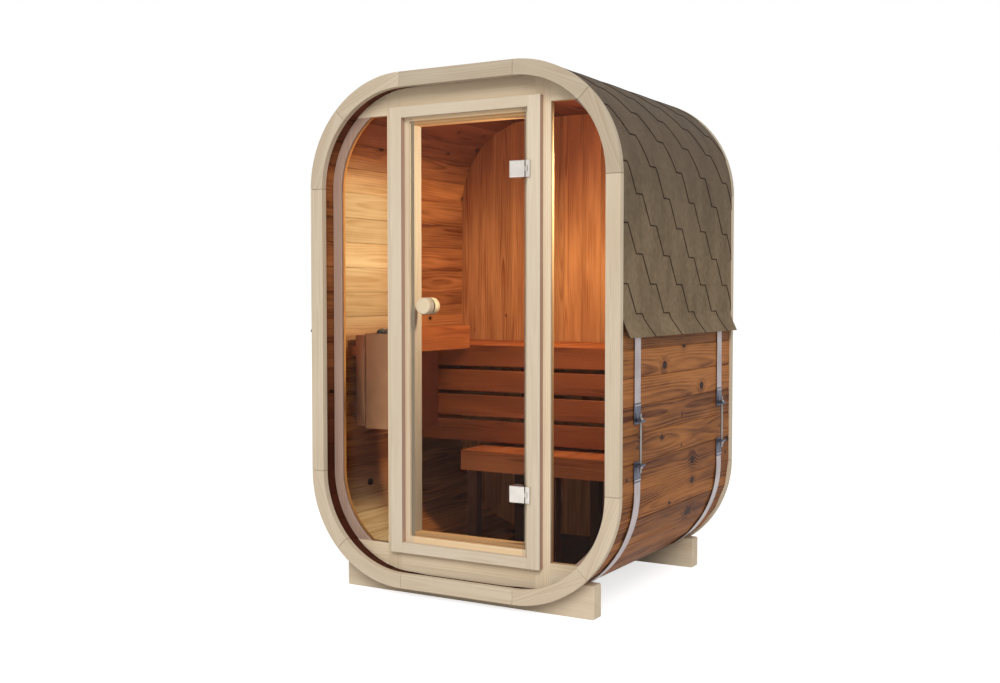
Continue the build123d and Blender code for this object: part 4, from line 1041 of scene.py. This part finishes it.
def strap_line(thickness):
    """(x, z) from the strap's upper end round the cabin to its lower end, at a thickness over its inner side.
    It stands a little off the staves, and slips close to them under the cover."""
    line = [(SHELL_OUT, z, 0.0) for z in np.linspace(STRAP_TOP_END, STRAIGHT_HIGH, STRAP_TOP_STEPS)]
    for side, z, first in ((1, STRAIGHT_HIGH, 0), (-1, STRAIGHT_HIGH, 90), (-1, STRAIGHT_LOW, 180),
                           (1, STRAIGHT_LOW, 270)):
        for turn in np.radians(np.linspace(first, first + 90, STRAP_TURN_STEPS)):
            x = side * STRAIGHT_HALF_WIDTH + SHELL_RADIUS * cos(turn)
            line.append((x, z + SHELL_RADIUS * sin(turn), turn))
    line += [(SHELL_OUT, z, 0.0) for z in np.linspace(STRAIGHT_LOW, STRAP_LOW_END, STRAP_LOW_STEPS)]
    places = []
    for x, z, turn in line:
        free = min(max((COVER_LOW + TUCK_START - z) / TUCK_LENGTH, 0), 1)
        away = thickness + STRAP_UNDER_COVER + (STRAP_STAND_OFF - STRAP_UNDER_COVER) * free
        places.append((x + away * cos(turn), z + away * sin(turn)))
    return places


strap_inner, strap_outer = strap_line(0), strap_line(STRAP_THICKNESS)
for node, y in STRAP_MIDDLES.items():
    steel_band = band(strap_inner, strap_outer, y - STRAP_WIDTH / 2, y + STRAP_WIDTH / 2)
    piece(node + "_band", steel_band, STRAP_STEEL, node=node)
print("each strap is", len(strap_inner), "steps long")

# %% Lock plates and bolts
BOLT_STEEL = metal("bolt_steel", (168, 166, 164), 0.3)
LOCK_EDGE = 0.0012
PLATE_FACE = 0.7075
FOLD_PLACES = (0.8105, 0.5285)
FOLD_HEIGHT = 0.005
FOLD_THICKNESS = 0.0016
FOLD_EDGE = 0.0006
FOLD_BITE = 0.0005
THREAD_PITCH = 0.0015
THREAD_DEPTH = 0.0009
THREAD_AROUND = 20
BOLT_RADIUS = 0.005
BOLT_OVERRUN = 0.016
NUT_ACROSS = 0.017
NUT_THICKNESS = 0.008
NUT_EDGE = 0.0012


def strap_fold(y, z):
    """The folded end of a strap, a small block with eased edges."""
    low = (PLATE_FACE - FOLD_BITE, y - STRAP_WIDTH / 2, z - FOLD_HEIGHT / 2)
    high = (PLATE_FACE + FOLD_THICKNESS, y + STRAP_WIDTH / 2, z + FOLD_HEIGHT / 2)
    bm = bmesh.new()
    bmesh.ops.create_cube(bm, size=1.0)
    for corner in bm.verts:
        corner.co = Vector((l + (h - l) * (c + 0.5) for l, h, c in zip(low, high, corner.co)))
    ease_edges(bm, FOLD_EDGE)
    return bm


def threaded_rod(x, y, low, high):
    """A rod along Z with a helical thread."""
    rows = round((high - low) / (THREAD_PITCH / 2))
    grid = []
    for r in range(rows + 1):
        z = low + (high - low) * r / rows
        ring = []
        for i in range(THREAD_AROUND):
            turn = i / THREAD_AROUND
            phase = (z / THREAD_PITCH - turn) % 1.0
            radius = BOLT_RADIUS - THREAD_DEPTH * abs(2 * phase - 1)
            ring.append((x + radius * cos(2 * pi * turn), y + radius * sin(2 * pi * turn), z))
        grid.append(ring)
    return skin(grid)


def hex_nut(x, y, low):
    """A nut with eased corners."""
    radius = NUT_ACROSS / 2 / cos(pi / 6)
    profile = [(0, 0), (radius * 0.93, 0), (radius, NUT_EDGE), (radius, NUT_THICKNESS - NUT_EDGE),
               (radius * 0.93, NUT_THICKNESS), (0, NUT_THICKNESS)]
    return turned(profile, (x, y, low), (0, 0, 1), segments=6)


eased("strap_lock_plates", LOCK_STEEL, LOCK_EDGE)
folds = [strap_fold(y, z) for y in STRAP_MIDDLES.values() for z in FOLD_PLACES]
piece("strap_folds", gather(folds), STRAP_STEEL)
bolt_low, bolt_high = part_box("strap_lock_bolts")
bolt_x = (bolt_low.x + bolt_high.x) / 2
hardware = []
for y in STRAP_MIDDLES.values():
    hardware += [threaded_rod(bolt_x, y, bolt_low.z, bolt_high.z),
                 hex_nut(bolt_x, y, bolt_high.z - BOLT_OVERRUN - NUT_THICKNESS),
                 hex_nut(bolt_x, y, bolt_low.z + BOLT_OVERRUN)]
piece("strap_lock_threads", gather(hardware), BOLT_STEEL, node="strap_lock_bolts")
print("turns of thread on each bolt:", round((bolt_high.z - bolt_low.z) / THREAD_PITCH))

# %% [markdown]
# ## Glass
# The door is 8 mm toughened glass and the windows are 6 mm panes set in grooves. Their frame solids already
# have the right shape, so they keep it and only get glass. Real glass would throw a dark shadow in this
# renderer, so rays from lamps pass straight through, which the Light Path node arranges.

# %% Glass
GLASS_TINT = (0.985, 0.992, 0.985, 1.0)
GLASS_BEND = 1.12
GLASS_LETS_THROUGH = (0.20, 0.20, 0.20, 1.0)


def glass(name):
    """Clear glass that lets lamps through, with a faint haze of wiping marks."""
    g = Graph(name)
    smear = g.noise(g.place(), detail=3.0, stretch=(6.0, 6.0, 2.0))
    g.surface({"Base Color": GLASS_TINT, "Transmission Weight": 1.0, "IOR": GLASS_BEND,
               "Roughness": g.spread(smear, 0.45, 0.8, 0.0, 0.02)})
    clear = g.add("BsdfTransparent")
    clear.inputs["Color"].default_value = GLASS_LETS_THROUGH
    mix = g.add("MixShader")
    for socket, source in zip(mix.inputs, (g.add("LightPath").outputs["Is Shadow Ray"], g.shader.outputs[0],
                                           clear.outputs[0])):
        g.feed(socket, source)
    g.feed(g.nodes["Material Output"].inputs["Surface"], mix.outputs[0])
    return g.owner


for node, name in (("door_glass", "door_glass"), ("window_panes", "window_glass")):
    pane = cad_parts[node]
    pane.data.materials.clear()
    pane.data.materials.append(glass(name))
    print(node, "is glass")

# %% [markdown]
# ## Hinges
# Two satin steel hinges carry the door. Each clamps the glass between two plates with screws, and its leaf
# sits on the casing. The plates have a wide bevelled rim that catches the light, so a thin cover with that
# bevel is laid on the front plate. It swings with the door.

# %% Hinges
HINGE_METAL = metal("hinge_metal", (226, 220, 212), 0.32, brushed=0.1, stretch=(40.0, 40.0, 1200.0))
HINGE_EDGE = 0.0008
HINGE_HEIGHT = 0.064
PLATE_WIDTH = 0.066
PLATE_BEVEL = 0.0035
COVER_PLATE = 0.0035

eased("door_hinge_clamps", HINGE_METAL, HINGE_EDGE, body=DOOR)
eased("door_hinge_leaves", HINGE_METAL, HINGE_EDGE)
clamp_low, clamp_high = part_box("door_hinge_clamps")


def cover_plate(low_z):
    """The flat cover of one clamp, which faces -Y, with a wide bevel round its front."""
    loops = []
    front, back = clamp_low.y - COVER_PLATE, clamp_low.y + 0.0001
    for inset, y in ((0, back), (0, front + PLATE_BEVEL * 0.6), (PLATE_BEVEL, front)):
        left, right = clamp_low.x + inset, clamp_low.x + PLATE_WIDTH - inset
        low, high = low_z + inset, low_z + HINGE_HEIGHT - inset
        loops.append([(left, y, low), (right, y, low), (right, y, high), (left, y, high)])
    return skin(loops)


covers = [cover_plate(z) for z in (clamp_low.z, clamp_high.z - HINGE_HEIGHT)]
piece("door_hinge_covers", gather(covers), HINGE_METAL, body=DOOR)
print("hinges:", len(covers))

# %% [markdown]
# ## Knobs
# The knobs are turned from pale wood, one each side of the glass. A lathe profile gives the soft shoulder,
# and the inner knob has two fine grooves cut near its end. Turned wood shows rings on its face and straight
# grain on its side, which the wood shader gives by itself when the grain runs along the knob.

# %% Knobs
KNOB_WOOD = wood("knob_wood", (232, 214, 184), (198, 168, 128), (160, 120, 84), ring_share=0.35,
                 fibre_share=0.15, patch_share=0.2, tone_range=0.02, knots=0.0, ring_width=0.0032)
SHOULDER = 0.006
SHOULDER_STEPS = 5
END_DOME = 0.0008
GROOVE = 0.0022
GROOVE_PLACES = (0.023, 0.030)


def knob_profile(radius, length, grooves):
    """From the glass outwards: a straight side with grooves, a round shoulder and a slightly domed end."""
    profile = [(0, 0), (radius - 0.001, 0), (radius, 0.001)]
    for place in grooves:
        profile += [(radius, place - GROOVE / 2), (radius - GROOVE * 0.8, place - GROOVE / 5),
                    (radius - GROOVE * 0.8, place + GROOVE / 5), (radius, place + GROOVE / 2)]
    for i in range(SHOULDER_STEPS + 1):
        turn = pi / 2 * i / SHOULDER_STEPS
        profile.append((radius - SHOULDER * (1 - cos(turn)), length - END_DOME - SHOULDER * (1 - sin(turn))))
    return profile + [(radius * 0.4, length - 0.0002), (0, length)]


for node, way, grooves in (("door_knob_outer", -1, ()), ("door_knob_inner", 1, GROOVE_PLACES)):
    low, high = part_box(node)
    start, end = (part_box("door_glass")[0].y, low.y) if way < 0 else (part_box("door_glass")[1].y, high.y)
    length = abs(end - start)
    centre = ((low.x + high.x) / 2, start, (low.z + high.z) / 2)
    knob = turned(knob_profile((high.x - low.x) / 2, length, grooves), centre, (0, way, 0), segments=64)
    write_grain(knob, "Y")
    piece(node + "_turned", knob, KNOB_WOOD, body=DOOR, node=node)
    print(node, "is", round(length * 1000), "mm long")

# %% [markdown]
# ## Heater
# The heater is a brushed steel case on the left wall, filled with stones. The case keeps its frame shape
# with eased edges. The heap of stones is built from many single ones: each is a subdivided ball pushed in
# and out by noise at its own scale, squashed a little, turned at random and laid in layers that reach just
# over the rim.

# %% Heater case and stones
# painted reflection: the steel's warm brown tint, darker than steel, stands in for the warm, dim cabin that it
# reflects
HEATER_STEEL_PAINTED_REFLECTION = metal("heater_steel", (178, 128, 92), 0.42, brushed=0.14, stretch=(30.0, 30.0, 900.0))
HEATER_EDGE = 0.0012
for node in ("heater_body", "heater_bracket"):
    eased(node, HEATER_STEEL_PAINTED_REFLECTION, HEATER_EDGE)


def rock(name, light, dark, grains):
    """Broken volcanic stone, dull and pitted."""
    g = Graph(name)
    body = g.noise(g.place(), scale=38.0, detail=5.0, rough=0.65)
    speck = g.noise(g.place(), scale=420.0)
    base = g.blend(g.spread(body, 0.3, 0.7), colour(*light), colour(*dark))
    g.bump(g.plus(body, g.times(speck, 0.3)), 0.004, 0.8)
    return g.surface({"Base Color": g.blend(g.spread(speck, 0.55, 0.7, 0.0, 0.5), base, colour(*grains)),
                      "Roughness": 0.88})


STONE = rock("heater_stone", (120, 110, 100), (62, 56, 52), (150, 144, 134))
STONE_SIZE = 0.027
STONE_LAYERS = 4
STONE_SPACING = 0.046
STONE_ROUGH = 0.22


def stone(place, size):
    """One stone."""
    bm = bmesh.new()
    bmesh.ops.create_icosphere(bm, subdivisions=3, radius=1.0)
    seed = Vector(chance.uniform(0, 50, 3))
    squash = Vector((1.0, chance.uniform(0.75, 1.0), chance.uniform(0.6, 0.85)))
    turn = Matrix.Rotation(chance.uniform(0, pi), 3, "Z") @ Matrix.Rotation(chance.uniform(-0.5, 0.5), 3, "X")
    for corner in bm.verts:
        dent = noise.noise(corner.co * 1.1 + seed) + 0.4 * noise.noise(corner.co * 2.7 + seed)
        shape = corner.co * (1 + STONE_ROUGH * dent)
        corner.co = turn @ Vector(a * b * size for a, b in zip(shape, squash)) + Vector(place)
    return bm


heap_low, heap_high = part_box("heater_stones")
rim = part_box("heater_body")[1].z
stones = []
for layer in range(STONE_LAYERS):
    z = heap_high.z - STONE_SIZE - 0.002 - layer * STONE_SPACING * 0.6
    inset = STONE_SIZE * (1.5 if z > rim - STONE_SIZE else 1.15)
    sides = [np.linspace(low + inset, high - inset, round((high - low - 2 * inset) / STONE_SPACING) + 1)
             for low, high in zip(heap_low.xy, heap_high.xy)]
    for x in sides[0]:
        for y in sides[1]:
            jitter = chance.uniform(-0.003, 0.003, 3)
            size = STONE_SIZE * chance.uniform(0.82, 1.0)
            stones.append(stone((x + jitter[0], y + jitter[1], z - abs(jitter[2])), size))
print("stones:", len(stones))
piece("heater_stone_heap", gather(stones), STONE, node="heater_stones", smooth_below=radians(50))
